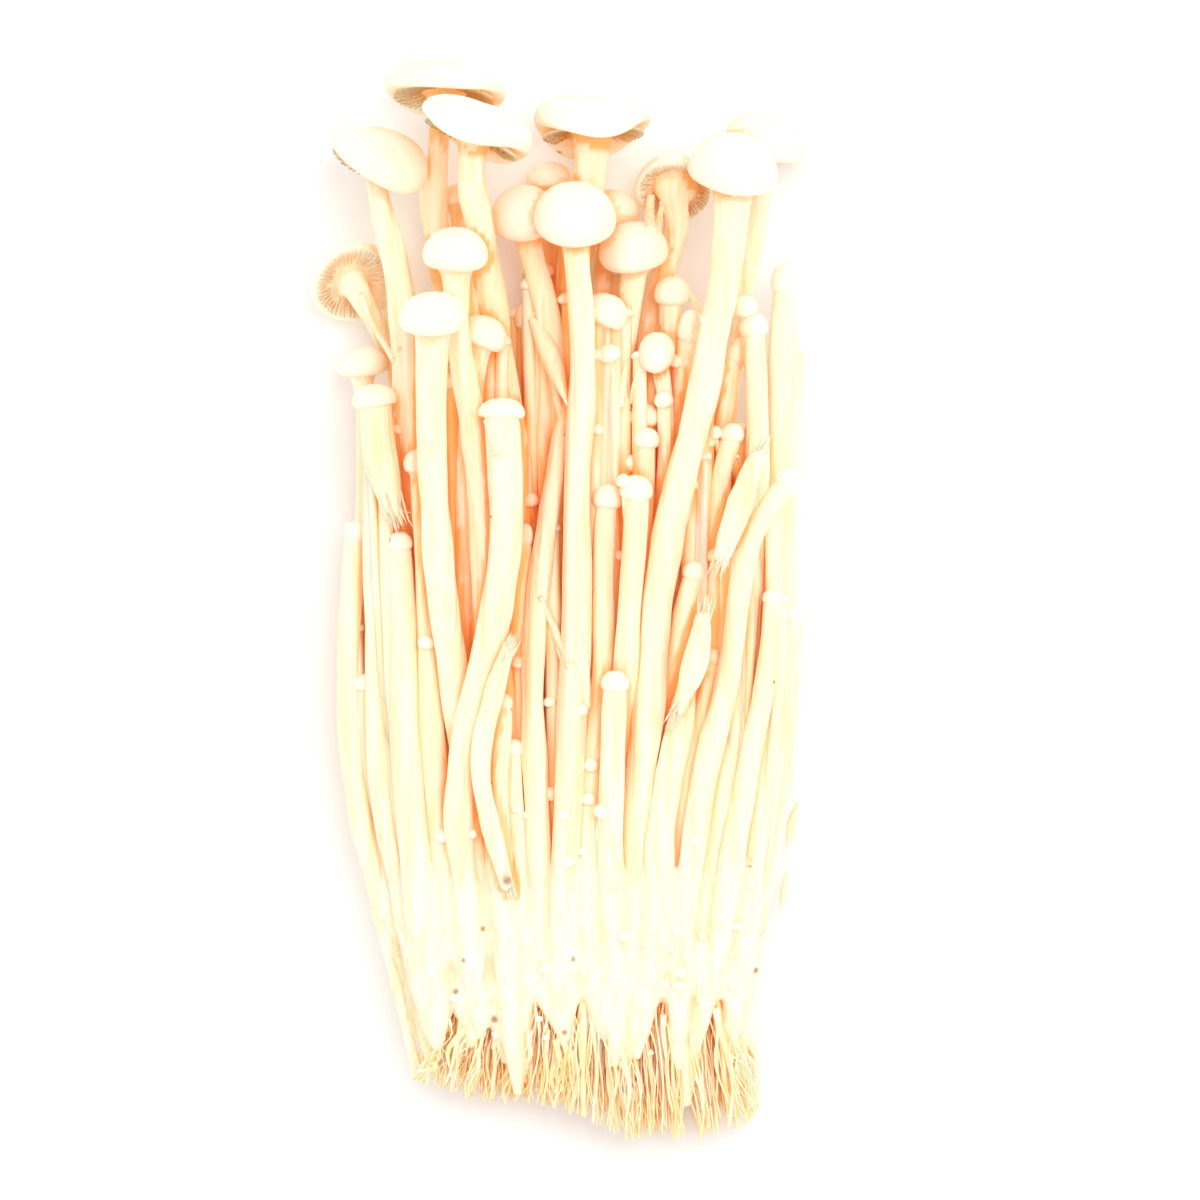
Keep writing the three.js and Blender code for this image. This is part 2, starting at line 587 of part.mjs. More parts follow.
function mushroomMesh(plan, sides) {
  const geometry = mushroomGeometry(plan, sides);
  const foot = plan.chain[0];
  geometry.translate(-foot.x, -foot.y, -foot.z);
  const mesh = new THREE.Mesh(geometry, IVORY);
  mesh.name = plan.name;
  mesh.position.copy(foot);
  return mesh;
}

// ---------------------------------------------------------------- the fused base and its roots

// Stations along the base: [y, left edge, right edge, thickness].
const BASE_STATIONS = [
  [BASE_FOOT, -20.5, 27, 14],
  [15, -21.4, 27.6, 15.5],
  [20, -22.2, 28.6, 17],
  [25, -23.6, 29.6, 17.8],
  [29.5, -25, 30, BASE_HEIGHT],
  [BASE_CROWN, -26.6, 30, BASE_HEIGHT],
];
const BASE_SIDES = 28;
const BASE_LOBES = 9;
const SQUARENESS = 0.62; // 1 would be an ellipse, 0 a rectangle

function blockRing(y, left, right, bottom, top, sides, lobes) {
  const halfWidth = (right - left) / 2;
  const halfHeight = (top - bottom) / 2;
  const sunk = 0.8; // part of the round underside that is pressed flat
  return Array.from({ length: sides }, (_, i) => {
    const angle = (-2 * Math.PI * i) / sides;
    const lobe = 1 - 0.035 + 0.035 * Math.cos(lobes * angle + y * 0.1);
    const across = Math.sign(Math.cos(angle)) * Math.abs(Math.cos(angle)) ** SQUARENESS;
    const up = Math.sign(Math.sin(angle)) * Math.abs(Math.sin(angle)) ** SQUARENESS;
    const x = (left + right) / 2 + halfWidth * across * lobe;
    const z = (bottom + top) / 2 + (halfHeight + sunk) * up * lobe;
    return new THREE.Vector3(x, y, THREE.MathUtils.clamp(z, bottom, top));
  });
}

function baseMesh() {
  const rings = BASE_STATIONS.map(([y, left, right, height]) =>
    blockRing(y, left, right, 0, height, BASE_SIDES, BASE_LOBES));
  const middle = (y) => new THREE.Vector3(2, y, BASE_HEIGHT / 2);
  const mesh = new THREE.Mesh(skin(middle(BASE_FOOT), rings, middle(BASE_CROWN)), PALE_BASE);
  mesh.name = "fused_base";
  return mesh;
}

const TUFT_GAP = 0.36; // between the base and the tufts

// Tufts of root strands under the base: [left, right] at the base, [left, right] at the tips,
// and how far down the strands reach on each side.
const TUFTS = [
  { foot: [-20.4, -9.6], tips: [-20.4, -9.8], reach: [7.6, 5.4] },
  { foot: [-9.2, 2.2], tips: [-9.3, 1.8], reach: [5.2, 4.4] },
  { foot: [2.6, 13.4], tips: [2.3, 13.2], reach: [3.4, -0.3] },
  { foot: [13.8, 26.8], tips: [13.7, 29], reach: [-0.3, 3.4] },
];
const TUFT_TOP = BASE_FOOT - TUFT_GAP;
const TUFT_HEIGHT = 13; // thickness at the base, thinning towards the tips

function tuftMesh({ foot, tips, reach }, number) {
  const levels = [0, 0.5, 1];
  const rings = levels.map((level) => {
    const left = mix(foot[0], tips[0], level);
    const right = mix(foot[1], tips[1], level);
    const low = 0.5 + 1.5 * level;
    const high = TUFT_HEIGHT - 3 * level;
    const ring = blockRing(0, left, right, low, high, 12, 0);
    ring.forEach((point) => {
      const across = (point.x - left) / (right - left);
      point.y = mix(TUFT_TOP, mix(reach[0], reach[1], across), level);
    });
    return ring.reverse();
  });
  const middle = (ring) => ring.reduce((sum, point) => sum.add(point), new THREE.Vector3())
    .divideScalar(ring.length);
  const mesh = new THREE.Mesh(skin(middle(rings[0]), rings, middle(rings[2])), STRAW);
  mesh.name = `root_tuft_${number}`;
  return mesh;
}

// ---------------------------------------------------------------- the bunch

const numbered = (list, kind, rooted) => list.map((entry, i) =>
  plant({ ...entry, name: `${kind}_${String(i + 1).padStart(2, "0")}`, rooted }));

const broad = numbered(BROAD, "broad_mushroom", true);
const smaller = [
  ...numbered(BUTTONS, "button_mushroom", true),
  ...numbered(SLENDER, "slender_mushroom", true),
  ...numbered(BROKEN, "broken_stem", false),
  ...numbered(TOPLESS, "topless_stem", true),
];
settle([...broad, ...smaller]);

const bunch = new THREE.Group();
bunch.name = "enoki_bunch";
bunch.add(baseMesh());
TUFTS.forEach((tuft, i) => bunch.add(tuftMesh(tuft, i + 1)));
broad.forEach((plan) => bunch.add(mushroomMesh(plan, BROAD_SIDES)));
smaller.forEach((plan) => bunch.add(mushroomMesh(plan, SLENDER_SIDES)));

const extent = new THREE.Box3().setFromObject(bunch);
const centre = extent.getCenter(new THREE.Vector3());
bunch.position.set(-centre.x, -centre.y, -extent.min.z);

export default bunch;
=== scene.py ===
"""Enoki mushroom bunch: every visible piece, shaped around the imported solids."""
import json
import math
import random

import bmesh
import bpy
import numpy as np
from mathutils import Matrix, Vector, noise
from mathutils.bvhtree import BVHTree

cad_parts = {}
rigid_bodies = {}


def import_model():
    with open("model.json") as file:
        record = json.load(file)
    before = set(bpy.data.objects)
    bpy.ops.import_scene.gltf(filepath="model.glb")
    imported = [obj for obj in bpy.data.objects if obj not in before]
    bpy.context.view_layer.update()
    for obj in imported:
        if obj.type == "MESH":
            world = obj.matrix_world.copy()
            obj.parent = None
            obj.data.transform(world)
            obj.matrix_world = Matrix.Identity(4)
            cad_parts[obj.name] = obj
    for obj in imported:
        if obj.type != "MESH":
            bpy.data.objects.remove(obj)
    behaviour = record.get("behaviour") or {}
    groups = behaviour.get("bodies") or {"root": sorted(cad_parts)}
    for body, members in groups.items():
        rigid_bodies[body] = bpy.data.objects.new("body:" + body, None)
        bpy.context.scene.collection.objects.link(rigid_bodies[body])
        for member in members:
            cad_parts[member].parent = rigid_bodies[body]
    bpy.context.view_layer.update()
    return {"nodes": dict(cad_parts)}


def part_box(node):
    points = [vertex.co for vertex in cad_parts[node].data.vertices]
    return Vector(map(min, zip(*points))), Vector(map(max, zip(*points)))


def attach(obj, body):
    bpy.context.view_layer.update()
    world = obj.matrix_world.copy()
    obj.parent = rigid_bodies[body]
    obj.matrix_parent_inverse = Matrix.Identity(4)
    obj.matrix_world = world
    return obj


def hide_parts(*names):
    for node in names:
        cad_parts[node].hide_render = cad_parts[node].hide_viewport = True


bl_info = {
    "name": "Enoki mushroom bunch",
    "version": (1, 0, 0),
    "blender": (4, 5, 0),
    "location": "3D View > Sidebar > Enoki",
    "description": "Builds a bunch of enoki mushrooms piece by piece",
    "category": "Add Mesh",
}

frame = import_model()
NODE_CORNERS = [corner for node in frame["nodes"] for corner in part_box(node)]
BUNCH_BOX = [Vector([pick(corner[axis] for corner in NODE_CORNERS) for axis in range(3)])
             for pick in (min, max)]

MM = 0.001
BODY = "root"
ROOT_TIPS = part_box("root_tuft_4")[0][1] + 0.0003  # where lengths along it are measured from
ACROSS_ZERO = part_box("root_tuft_4")[1][0] - 0.029  # where places across it are measured from
BUNCH_MIDDLE = 0.012  # height of the middle of the bunch above the table
ACROSS_MIDDLE = 2.6  # middle of the base across the bunch, in millimetres
OVERHEAD = 60  # height in millimetres, well above the bunch, from which it is looked down on
DOWN = Vector((0, 0, -1))
POLE_EDGES = 7  # least edges at the single point that closes each end of a stem
CAP_RINGS = 6  # rings of a cap, from its underside to its crown
TORN_EDGE = 2.4 * MM  # how far the points of a torn end stand out
TORN_FIBRE = 3.6 * MM  # longest fibre at a torn end
FIBRE_RADIUS = 0.11 * MM
GILL_DEPTH = 0.5 * MM
GILL_THICKNESS = 0.16 * MM
GILL_REACH = 0.84  # how far towards the rim a gill runs
GROWN = ("broad_mushroom", "button_mushroom", "slender_mushroom")


def along(x, y, z=0.0):
    """A point from millimetres across, from the root tips and above the table."""
    return Vector((x * MM + ACROSS_ZERO, ROOT_TIPS + y * MM, z * MM))


def nodes_of(kind):
    return sorted(name for name in frame["nodes"] if name.startswith(kind))


# ------------------------------------------------------------------ settings

class FleshSettings(bpy.types.PropertyGroup):
    """Colours of the flesh and of the roots, and of the orange shade painted between the stems."""

    pale: bpy.props.FloatVectorProperty(
        name="Flesh", description="Colour of fresh flesh", subtype="COLOR", size=3,
        default=(1.0, 0.915, 0.71), min=0, max=1)
    # Painted shade: an orange colour laid on flesh hidden between the stems and under the caps,
    # standing in for the shade that light picks up there.
    shade_colour: bpy.props.FloatVectorProperty(
        name="Painted shade", description="Colour deep between the stems", subtype="COLOR", size=3,
        default=(1.0, 0.55, 0.19), min=0, max=1)
    straw: bpy.props.FloatVectorProperty(
        name="Root strands", description="Colour of the cut root strands", subtype="COLOR",
        size=3, default=(1.0, 0.85, 0.46), min=0, max=1)
    white: bpy.props.FloatVectorProperty(
        name="Base flesh", description="Colour of the caps and of the white mat of the base",
        subtype="COLOR", size=3, default=(1.0, 0.94, 0.78), min=0, max=1)
    stain: bpy.props.FloatVectorProperty(
        name="Stains", description="Colour of bruises and torn ends", subtype="COLOR", size=3,
        default=(0.45, 0.22, 0.07), min=0, max=1)


class ShapeSettings(bpy.types.PropertyGroup):
    """Sizes and counts of what the bunch is made of."""

    plump: bpy.props.FloatProperty(
        name="Plumpness", description="How much a stem's skin stands off the solid it is shaped "
        "from, to close the gap to its neighbours", default=0.00040, min=0, max=0.001,
        unit="LENGTH")
    grooves: bpy.props.FloatProperty(
        name="Groove depth", description="Depth of the long grooves in a stem",
        default=0.00030, min=0, max=0.001, unit="LENGTH")
    sway: bpy.props.FloatProperty(
        name="Unevenness", description="How far a cap or stem is from round",
        default=0.00035, min=0, max=0.002, unit="LENGTH")
    gills: bpy.props.IntProperty(
        name="Gills", description="Gills under each open cap", default=46, min=8, max=120)
    strands: bpy.props.IntProperty(
        name="Root strands", description="Strands in each tuft", default=400, min=20, max=600)
    shoots: bpy.props.IntProperty(
        name="Thin shoots", description="Thin shoots among the stems", default=110, min=0, max=160)


class StageSettings(bpy.types.PropertyGroup):
    """Camera and light."""

    camera_height: bpy.props.FloatProperty(
        name="Camera height", description="Height of the camera above the table",
        default=1.1, min=0.3, max=3, unit="LENGTH")
    view_width: bpy.props.FloatProperty(
        name="View width", description="Width of table that the camera sees",
        default=0.168, min=0.05, max=1, unit="LENGTH")
    key_power: bpy.props.FloatProperty(
        name="Key light", description="Power of the soft light overhead", default=2.8, min=0,
        max=100, unit="POWER")
    sky: bpy.props.FloatProperty(
        name="Room light", description="Strength of the light from all round", default=1.06,
        min=0, max=5)


# ------------------------------------------------------------------ modelling helpers

def only(piece):
    """Makes one object the only selected and the active one."""
    for other in bpy.context.view_layer.objects:
        other.select_set(False)
    piece.select_set(True)
    bpy.context.view_layer.objects.active = piece


def new_object(name, mesh):
    piece = bpy.data.objects.new(name, mesh)
    bpy.context.scene.collection.objects.link(piece)
    return piece


def blank_of(node, name):
    """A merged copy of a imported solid, as the rough blank of a piece, and the blank's rings."""
    piece = new_object(name, frame["nodes"][node].data.copy())
    mesh = piece.data
    mesh.name = name
    mesh.materials.clear()
    only(piece)
    bpy.ops.object.mode_set(mode="EDIT")
    bpy.ops.mesh.select_all(action="SELECT")
    bpy.ops.mesh.remove_doubles(threshold=1e-6)
    bpy.ops.object.mode_set(mode="OBJECT")
    rings = rings_of(mesh)
    ends = {rings[0][0], rings[-1][0]}
    bpy.ops.object.mode_set(mode="EDIT")
    bpy.ops.mesh.select_mode(type="FACE")
    shape = bmesh.from_edit_mesh(mesh)
    for face in shape.faces:
        face.select_set(not ends.intersection(corner.index for corner in face.verts))
    bmesh.update_edit_mesh(mesh)
    bpy.ops.mesh.tris_convert_to_quads(face_threshold=math.radians(60),
                                       shape_threshold=math.radians(80))
    bpy.ops.object.mode_set(mode="OBJECT")
    return piece, rings


def ordered_ring(level):
    """The vertices of one ring in order round the stem."""
    ring = [min(level, key=lambda v: v.index)]
    left = set(level) - set(ring)
    while left:
        beside = [e.other_vert(ring[-1]) for e in ring[-1].link_edges]
        step = [v for v in beside if v in left]
        ring.append(step[0] if step else left.copy().pop())
        left.discard(ring[-1])
    return [v.index for v in ring]


def rings_of(mesh):
    """The rings of a blank from its foot to its crown, with the closing points first and last."""
    shape = bmesh.new()
    shape.from_mesh(mesh)
    poles = [v for v in shape.verts if len(v.link_edges) >= POLE_EDGES]
    level = [min(poles, key=lambda v: v.co.y)]
    seen = set(level)
    rings = []
    while level:
        rings.append(ordered_ring(level))
        level = list({e.other_vert(v) for v in level for e in v.link_edges} - seen)
        seen.update(level)
    shape.free()
    return rings


def modify(piece, kind, **values):
    """Adds one modifier and applies it."""
    modifier = piece.modifiers.new(kind.title(), kind)
    for key, value in values.items():
        setattr(modifier, key, value)
    only(piece)
    bpy.ops.object.modifier_apply(modifier=modifier.name)


def coordinates(mesh, field="co"):
    values = np.empty(len(mesh.vertices) * 3)
    mesh.vertices.foreach_get(field, values)
    return values.reshape(-1, 3)


def set_coordinates(mesh, values):
    mesh.vertices.foreach_set("co", values.ravel())
    mesh.update()


def paint(mesh, name, values):
    """Stores one number for each vertex."""
    layer = mesh.attributes.get(name) or mesh.attributes.new(name, "FLOAT", "POINT")
    layer.data.foreach_set("value", np.asarray(values, dtype=float))


def painted(mesh, name):
    values = np.empty(len(mesh.vertices))
    mesh.attributes[name].data.foreach_get("value", values)
    return values


def rough(points, scale, seed):
    """Smooth noise at each point, with its own scale along each axis."""
    shift = Vector((seed * 3.17, seed * 1.71, seed * 7.93))
    scale = Vector(scale)
    return np.array([noise.noise(Vector(p) * scale + shift) for p in points])


def join(pieces, name):
    """Joins pieces into the first one."""
    only(pieces[0])
    for piece in pieces:
        piece.select_set(True)
    if len(pieces) > 1:
        bpy.ops.object.join()
    pieces[0].name = name
    pieces[0].data.name = name
    return pieces[0]


def finished_pieces():
    """The pieces of the bunch made so far."""
    return [o for o in bpy.data.objects if o.type == "MESH" and o.get("enoki_piece")]


def tree_of(pieces):
    """One search tree of all pieces, for looking along lines."""
    vertices, faces = [], []
    for piece in pieces:
        start = len(vertices)
        vertices += [vertex.co.copy() for vertex in piece.data.vertices]
        faces += [[start + corner for corner in face.vertices] for face in piece.data.polygons]
    return BVHTree.FromPolygons(vertices, faces)


def settle(piece, material=None, replaces=None):
    """Gives a finished piece its material, its body and what it stands for."""
    if material:
        piece.data.materials.clear()
        piece.data.materials.append(material)
    only(piece)
    bpy.ops.object.shade_smooth()
    piece["enoki_piece"] = True
    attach(piece, BODY)
    if replaces:
        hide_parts(*replaces)
    return piece


# ------------------------------------------------------------------ materials

class Recipe:
    """A material's nodes, added one after the other."""

    def __init__(self, name):
        self.material = bpy.data.materials.new(name)
        self.material.use_nodes = True
        self.nodes = self.material.node_tree.nodes
        self.links = self.material.node_tree.links
        self.shader = self.nodes["Principled BSDF"]

    def add(self, kind, **inputs):
        node = self.nodes.new(kind)
        for key, value in inputs.items():
            if hasattr(node, key):
                setattr(node, key, value)
            else:
                self.put(node.inputs[key.replace("_", " ")], value)
        return node

    def put(self, socket, value):
        if isinstance(value, bpy.types.NodeSocket):
            self.links.new(value, socket)
        else:
            socket.default_value = value

    def mapped(self, scale):
        place = self.add("ShaderNodeTexCoord")
        mapping = self.add("ShaderNodeMapping", Vector=place.outputs["Object"], Scale=scale)
        return mapping.outputs["Vector"]

    def grain(self, scale, size, detail=3.0):
        """Noise whose grain is size across, stretched by scale along each axis."""
        texture = self.add("ShaderNodeTexNoise", Vector=self.mapped(scale), Scale=1 / size,
                           Detail=detail)
        return texture.outputs["Fac"]

    def attribute(self, name):
        return self.add("ShaderNodeAttribute", attribute_name=name).outputs["Fac"]

    def ramp(self, value, low, high):
        """Zero below low, one above high."""
        node = self.add("ShaderNodeMapRange", Value=value)
        node.inputs["From Min"].default_value = low
        node.inputs["From Max"].default_value = high
        return node.outputs["Result"]

    def math(self, operation, first, second=0.0):
        node = self.add("ShaderNodeMath", operation=operation)
        self.put(node.inputs[0], first)
        self.put(node.inputs[1], second)
        return node.outputs[0]

    def blend(self, factor, first, second):
        node = self.add("ShaderNodeMix", data_type="RGBA")
        self.put(node.inputs["Factor"], factor)
        for socket, value in zip(node.inputs[6:8], (first, second)):
            self.put(socket, value if isinstance(value, bpy.types.NodeSocket) else (*value, 1))
        return node.outputs[2]

    def finish(self, colour, bump, depth, roughness, subsurface, radius):
        shader = self.shader
        self.put(shader.inputs["Base Color"], colour)
        self.put(shader.inputs["Roughness"], roughness)
        shader.inputs["Subsurface Weight"].default_value = subsurface
        shader.inputs["Subsurface Radius"].default_value = (1.0, 0.6, 0.35)
        shader.inputs["Subsurface Scale"].default_value = radius
        shader.inputs["IOR"].default_value = 1.38
        shader.inputs["Specular IOR Level"].default_value = 0.35
        node = self.add("ShaderNodeBump", Height=bump, Distance=depth, Strength=0.8)
        self.links.new(node.outputs["Normal"], shader.inputs["Normal"])
        return self.material


STREAK = (1.0, 0.80, 0.46)  # faint yellow streaks and patches in the flesh


def specks(recipe, cell, size, share):
    """Sparse round specks, one at most in each cell."""
    dots = recipe.add("ShaderNodeTexVoronoi", Vector=recipe.mapped((1, 1, 1)), Scale=1 / cell)
    chosen = recipe.add("ShaderNodeSeparateColor", Color=dots.outputs["Color"]).outputs[0]
    near = recipe.math("LESS_THAN", dots.outputs["Distance"], size / cell)
    return recipe.math("MULTIPLY", near, recipe.math("LESS_THAN", chosen, share))


def whiteness(recipe):
    """Grows from the single stems down to the white mat where they run together."""
    place = recipe.add("ShaderNodeSeparateXYZ", Vector=recipe.mapped((1, 1, 1))).outputs["Y"]
    return recipe.ramp(place, ROOT_TIPS + 50 * MM, ROOT_TIPS + 28 * MM)


def flesh_material(name, gill=False):
    colours = bpy.context.scene.enoki_flesh
    recipe = Recipe(name)
    cap = recipe.attribute("cap")
    stem = recipe.math("SUBTRACT", 1.0, cap)
    fibres = recipe.grain((1, 0.04, 1), 0.5 * MM, 4.0)
    bands = recipe.grain((1, 0.06, 1), 1.6 * MM, 2.0)
    mottle = recipe.grain((1, 0.35, 1), 7 * MM, 3.0)
    colour = recipe.blend(recipe.math("MAXIMUM", cap, whiteness(recipe)), tuple(colours.pale),
                          tuple(colours.white))
    streak = recipe.math("MULTIPLY", recipe.ramp(bands, 0.46, 0.66), 0.6)
    fine = recipe.math("MULTIPLY", recipe.ramp(fibres, 0.5, 0.66), 0.4)
    streak = recipe.math("MULTIPLY", recipe.math("ADD", streak, fine), stem)
    colour = recipe.blend(streak, colour, STREAK)
    patch = recipe.math("MULTIPLY", recipe.ramp(mottle, 0.5, 0.75), 0.3)
    colour = recipe.blend(patch, colour, STREAK)
    # Painted shade: orange laid where the flesh lies deep between its neighbours, and on the gills
    # at least 0.32 of it, for the shade under the caps.
    painted_shade = recipe.math("MAXIMUM", recipe.attribute("deep"), 0.32 if gill else 0.0)
    colour = recipe.blend(painted_shade, colour, tuple(colours.shade_colour))
    colour = recipe.blend(recipe.attribute("bruise"), colour, tuple(colours.stain))
    colour = recipe.blend(specks(recipe, 5 * MM, 0.22 * MM, 0.12), colour, tuple(colours.stain))
    skin = recipe.grain((1, 1, 1), 0.5 * MM, 2.0)
    cap_bump = recipe.math("MULTIPLY", recipe.math("MULTIPLY", skin, cap), 0.2)
    bump = recipe.math("ADD", recipe.math("MULTIPLY", fibres, stem), cap_bump)
    roughness = recipe.math("ADD", recipe.math("MULTIPLY", mottle, 0.2), 0.36)
    return recipe.finish(colour, bump, 0.25 * MM, roughness, 0.0 if gill else 0.3, 1.0 * MM)


def base_material():
    colours = bpy.context.scene.enoki_flesh
    recipe = Recipe("base_flesh")
    fibres = recipe.grain((1, 0.04, 1), 0.5 * MM, 4.0)
    bands = recipe.grain((1, 0.06, 1), 1.6 * MM, 2.0)
    cotton = recipe.grain((1, 0.6, 1), 1.1 * MM, 5.0)
    place = recipe.add("ShaderNodeSeparateXYZ", Vector=recipe.mapped((1, 1, 1))).outputs["Y"]
    low = recipe.ramp(place, ROOT_TIPS + 20 * MM, ROOT_TIPS + 8 * MM)
    mat = recipe.ramp(place, ROOT_TIPS + 35 * MM, ROOT_TIPS + 29 * MM)
    colour = recipe.blend(whiteness(recipe), tuple(colours.pale), tuple(colours.white))
    straw = recipe.math("MULTIPLY", low, recipe.ramp(fibres, 0.4, 0.62))
    colour = recipe.blend(recipe.math("MULTIPLY", straw, 0.7), colour, tuple(colours.straw))
    streak = recipe.math("MULTIPLY", recipe.ramp(bands, 0.46, 0.66), 0.5)
    colour = recipe.blend(streak, colour, STREAK)
    patch = recipe.math("MULTIPLY", recipe.ramp(cotton, 0.48, 0.7), 0.35)
    colour = recipe.blend(recipe.math("MULTIPLY", patch, mat), colour, STREAK)
    # Painted shade: orange laid in the base's grooves (hollow) and where it lies deep between the
    # stems.
    painted_shade = recipe.math("MAXIMUM", recipe.attribute("hollow"), recipe.attribute("deep"))
    colour = recipe.blend(painted_shade, colour, tuple(colours.shade_colour))
    colour = recipe.blend(recipe.attribute("bruise"), colour, tuple(colours.stain))
    colour = recipe.blend(specks(recipe, 6 * MM, 0.3 * MM, 0.15), colour, tuple(colours.stain))
    bump = recipe.math("ADD", fibres, recipe.math("MULTIPLY", cotton, mat))
    return recipe.finish(colour, bump, 0.3 * MM, 0.5, 0.3, 1.0 * MM)


def strand_material():
    colours = bpy.context.scene.enoki_flesh
    recipe = Recipe("root_strands")
    fine = recipe.grain((1, 0.1, 1), 0.8 * MM, 3.0)
    cloud = recipe.grain((1, 0.25, 1), 2.2 * MM, 3.0)
    colour = recipe.blend(recipe.ramp(cloud, 0.36, 0.6), tuple(colours.straw), tuple(colours.pale))
    # Painted shade: orange laid on the strands where they lie deep in the bunch.
    deep = recipe.math("MULTIPLY", recipe.attribute("deep"), 0.45)
    colour = recipe.blend(deep, colour, tuple(colours.shade_colour))
    dark = recipe.math("MULTIPLY", recipe.ramp(fine, 0.7, 0.85), 0.25)
    colour = recipe.blend(dark, colour, tuple(colours.stain))
    return recipe.finish(colour, fine, 0.08 * MM, 0.55, 0.0, 0.5 * MM)


def shared_material(name, make):
    return bpy.data.materials.get(name) or make()


def flesh():
    return shared_material("stem_and_cap", lambda: flesh_material("stem_and_cap"))


def gill_flesh():
    return shared_material("gills", lambda: flesh_material("gills", gill=True))


# ------------------------------------------------------------------ mushrooms

def swell(mesh, rings, factor, extra=0.0):
    """Widens each ring about its middle, to make up for what smoothing takes away."""
    points = coordinates(mesh)
    for ring in rings:
        middle = points[ring].mean(axis=0)
        arms = points[ring] - middle
        radius = np.linalg.norm(arms, axis=1).mean()
        points[ring] = middle + arms * factor * (radius + extra) / radius
    set_coordinates(mesh, points)


def smoothing_factor(sides):
    """How much wider a ring has to be for its smoothed form to keep the ring's size."""
    return 1 / (2 / 3 + math.cos(2 * math.pi / sides) / 3)


def tear(mesh, rings, end, rng):
    """Pulls the ring at a torn end out into uneven points. The end is 1 or -2 of the rings."""
    points = coordinates(mesh)
    ring, inward = rings[end], rings[end + (1 if end > 0 else -1)]
    pole = rings[0] if end > 0 else rings[-1]
    middle = points[ring].mean(axis=0)
    outward = middle - points[inward].mean(axis=0)
    outward /= np.linalg.norm(outward)
    for corner in ring:
        arm = (points[corner] - middle) * rng.uniform(0.4, 0.85)
        points[corner] = middle + arm + outward * TORN_EDGE * rng.uniform(-0.2, 1)
    points[pole] = middle + outward * 0.3 * TORN_EDGE
    points[:, 2] = np.maximum(points[:, 2], 0.0)
    set_coordinates(mesh, points)


def uneven(mesh, seed, grooves, sway):
    """Long grooves down a stem, and a gentle unevenness all over."""
    points = coordinates(mesh)
    normals = coordinates(mesh, "normal")
    cap = painted(mesh, "cap")
    groove = (rough(points, (650, 25, 650), seed) - 0.2) * grooves
    groove += rough(points, (1500, 40, 1500), seed + 0.3) * grooves * 0.5
    bulge = rough(points, (40, 130, 40), seed + 0.7) * sway * 1.3
    wave = rough(points, (130, 110, 130), seed + 0.5) * sway * 1.9
    offset = (groove + bulge) * (1 - cap) + wave * cap
    points += normals * offset[:, None]
    points[:, 2] = np.maximum(points[:, 2], 0.0)
    set_coordinates(mesh, points)


def gill_blade(radii, heights, depths, thickness):
    """One gill as a thin closed wedge, in the plane of the cap's axis, at these radii."""
    vertices = []
    for radius, height, depth in zip(radii, heights, depths):
        half = thickness / 2
        vertices += [(radius, -half, height + 0.3 * MM), (radius, half, height + 0.3 * MM),
                     (radius, 0.0, height - depth)]
    faces = []
    for i in range(len(radii) - 1):
        a, b = 3 * i, 3 * i + 3
        faces += [(a, b, b + 1, a + 1), (a + 1, b + 1, b + 2, a + 2), (a + 2, b + 2, b, a)]
    faces += [(0, 1, 2), (3 * len(radii) - 1, 3 * len(radii) - 2, 3 * len(radii) - 3)]
    return vertices, faces


def add_gills(name, points, rings, count, rng):
    """Gills under an open cap, each from the stem to just inside the rim."""
    crown = Vector(points[rings[-1]].mean(axis=0))
    cap_rings = [points[ring] for ring in rings[-CAP_RINGS - 1:-1]]
    middles = [Vector(ring.mean(axis=0)) for ring in cap_rings]
    radii = [np.linalg.norm(ring - ring.mean(axis=0), axis=1).mean() for ring in cap_rings]
    stem_ring = points[rings[-CAP_RINGS - 2]]
    stem_middle = Vector(stem_ring.mean(axis=0))
    stem_radius = np.linalg.norm(stem_ring - stem_ring.mean(axis=0), axis=1).mean()
    axis = (crown - middles[2]).normalized()
    side = axis.cross(Vector((0, 0, 1))).normalized()
    turn = Matrix((side, axis.cross(side), axis)).transposed()
    profile = [(stem_radius, (stem_middle - middles[1]).dot(axis)),
               (radii[0], (middles[0] - middles[1]).dot(axis)), (radii[1], 0.0)]
    steps = np.linspace(0, 1, 7)
    mesh = bpy.data.meshes.new(name)
    vertices, faces = [], []
    for i in range(count):
        short = 0.45 * rng.random() if i % 2 else 0.0
        reach = short + (GILL_REACH - short) * steps
        blade_radii = stem_radius * 0.9 + (radii[1] - stem_radius * 0.9) * reach
        heights = np.interp(blade_radii, *zip(*profile))
        depths = GILL_DEPTH * np.sin(np.pi * (steps * 0.9 + 0.06)) ** 0.8
        blade, sides = gill_blade(blade_radii, heights, depths, GILL_THICKNESS)
        angle = 2 * math.pi * (i + 0.3 * rng.random()) / count
        place = Matrix.Translation(middles[1]) @ turn.to_4x4() @ Matrix.Rotation(angle, 4, "Z")
        faces += [tuple(len(vertices) + corner for corner in face) for face in sides]
        vertices += [place @ Vector(vertex) for vertex in blade]
    mesh.from_pydata(vertices, [], faces)
    mesh.materials.append(gill_flesh())
    return new_object(name, mesh)


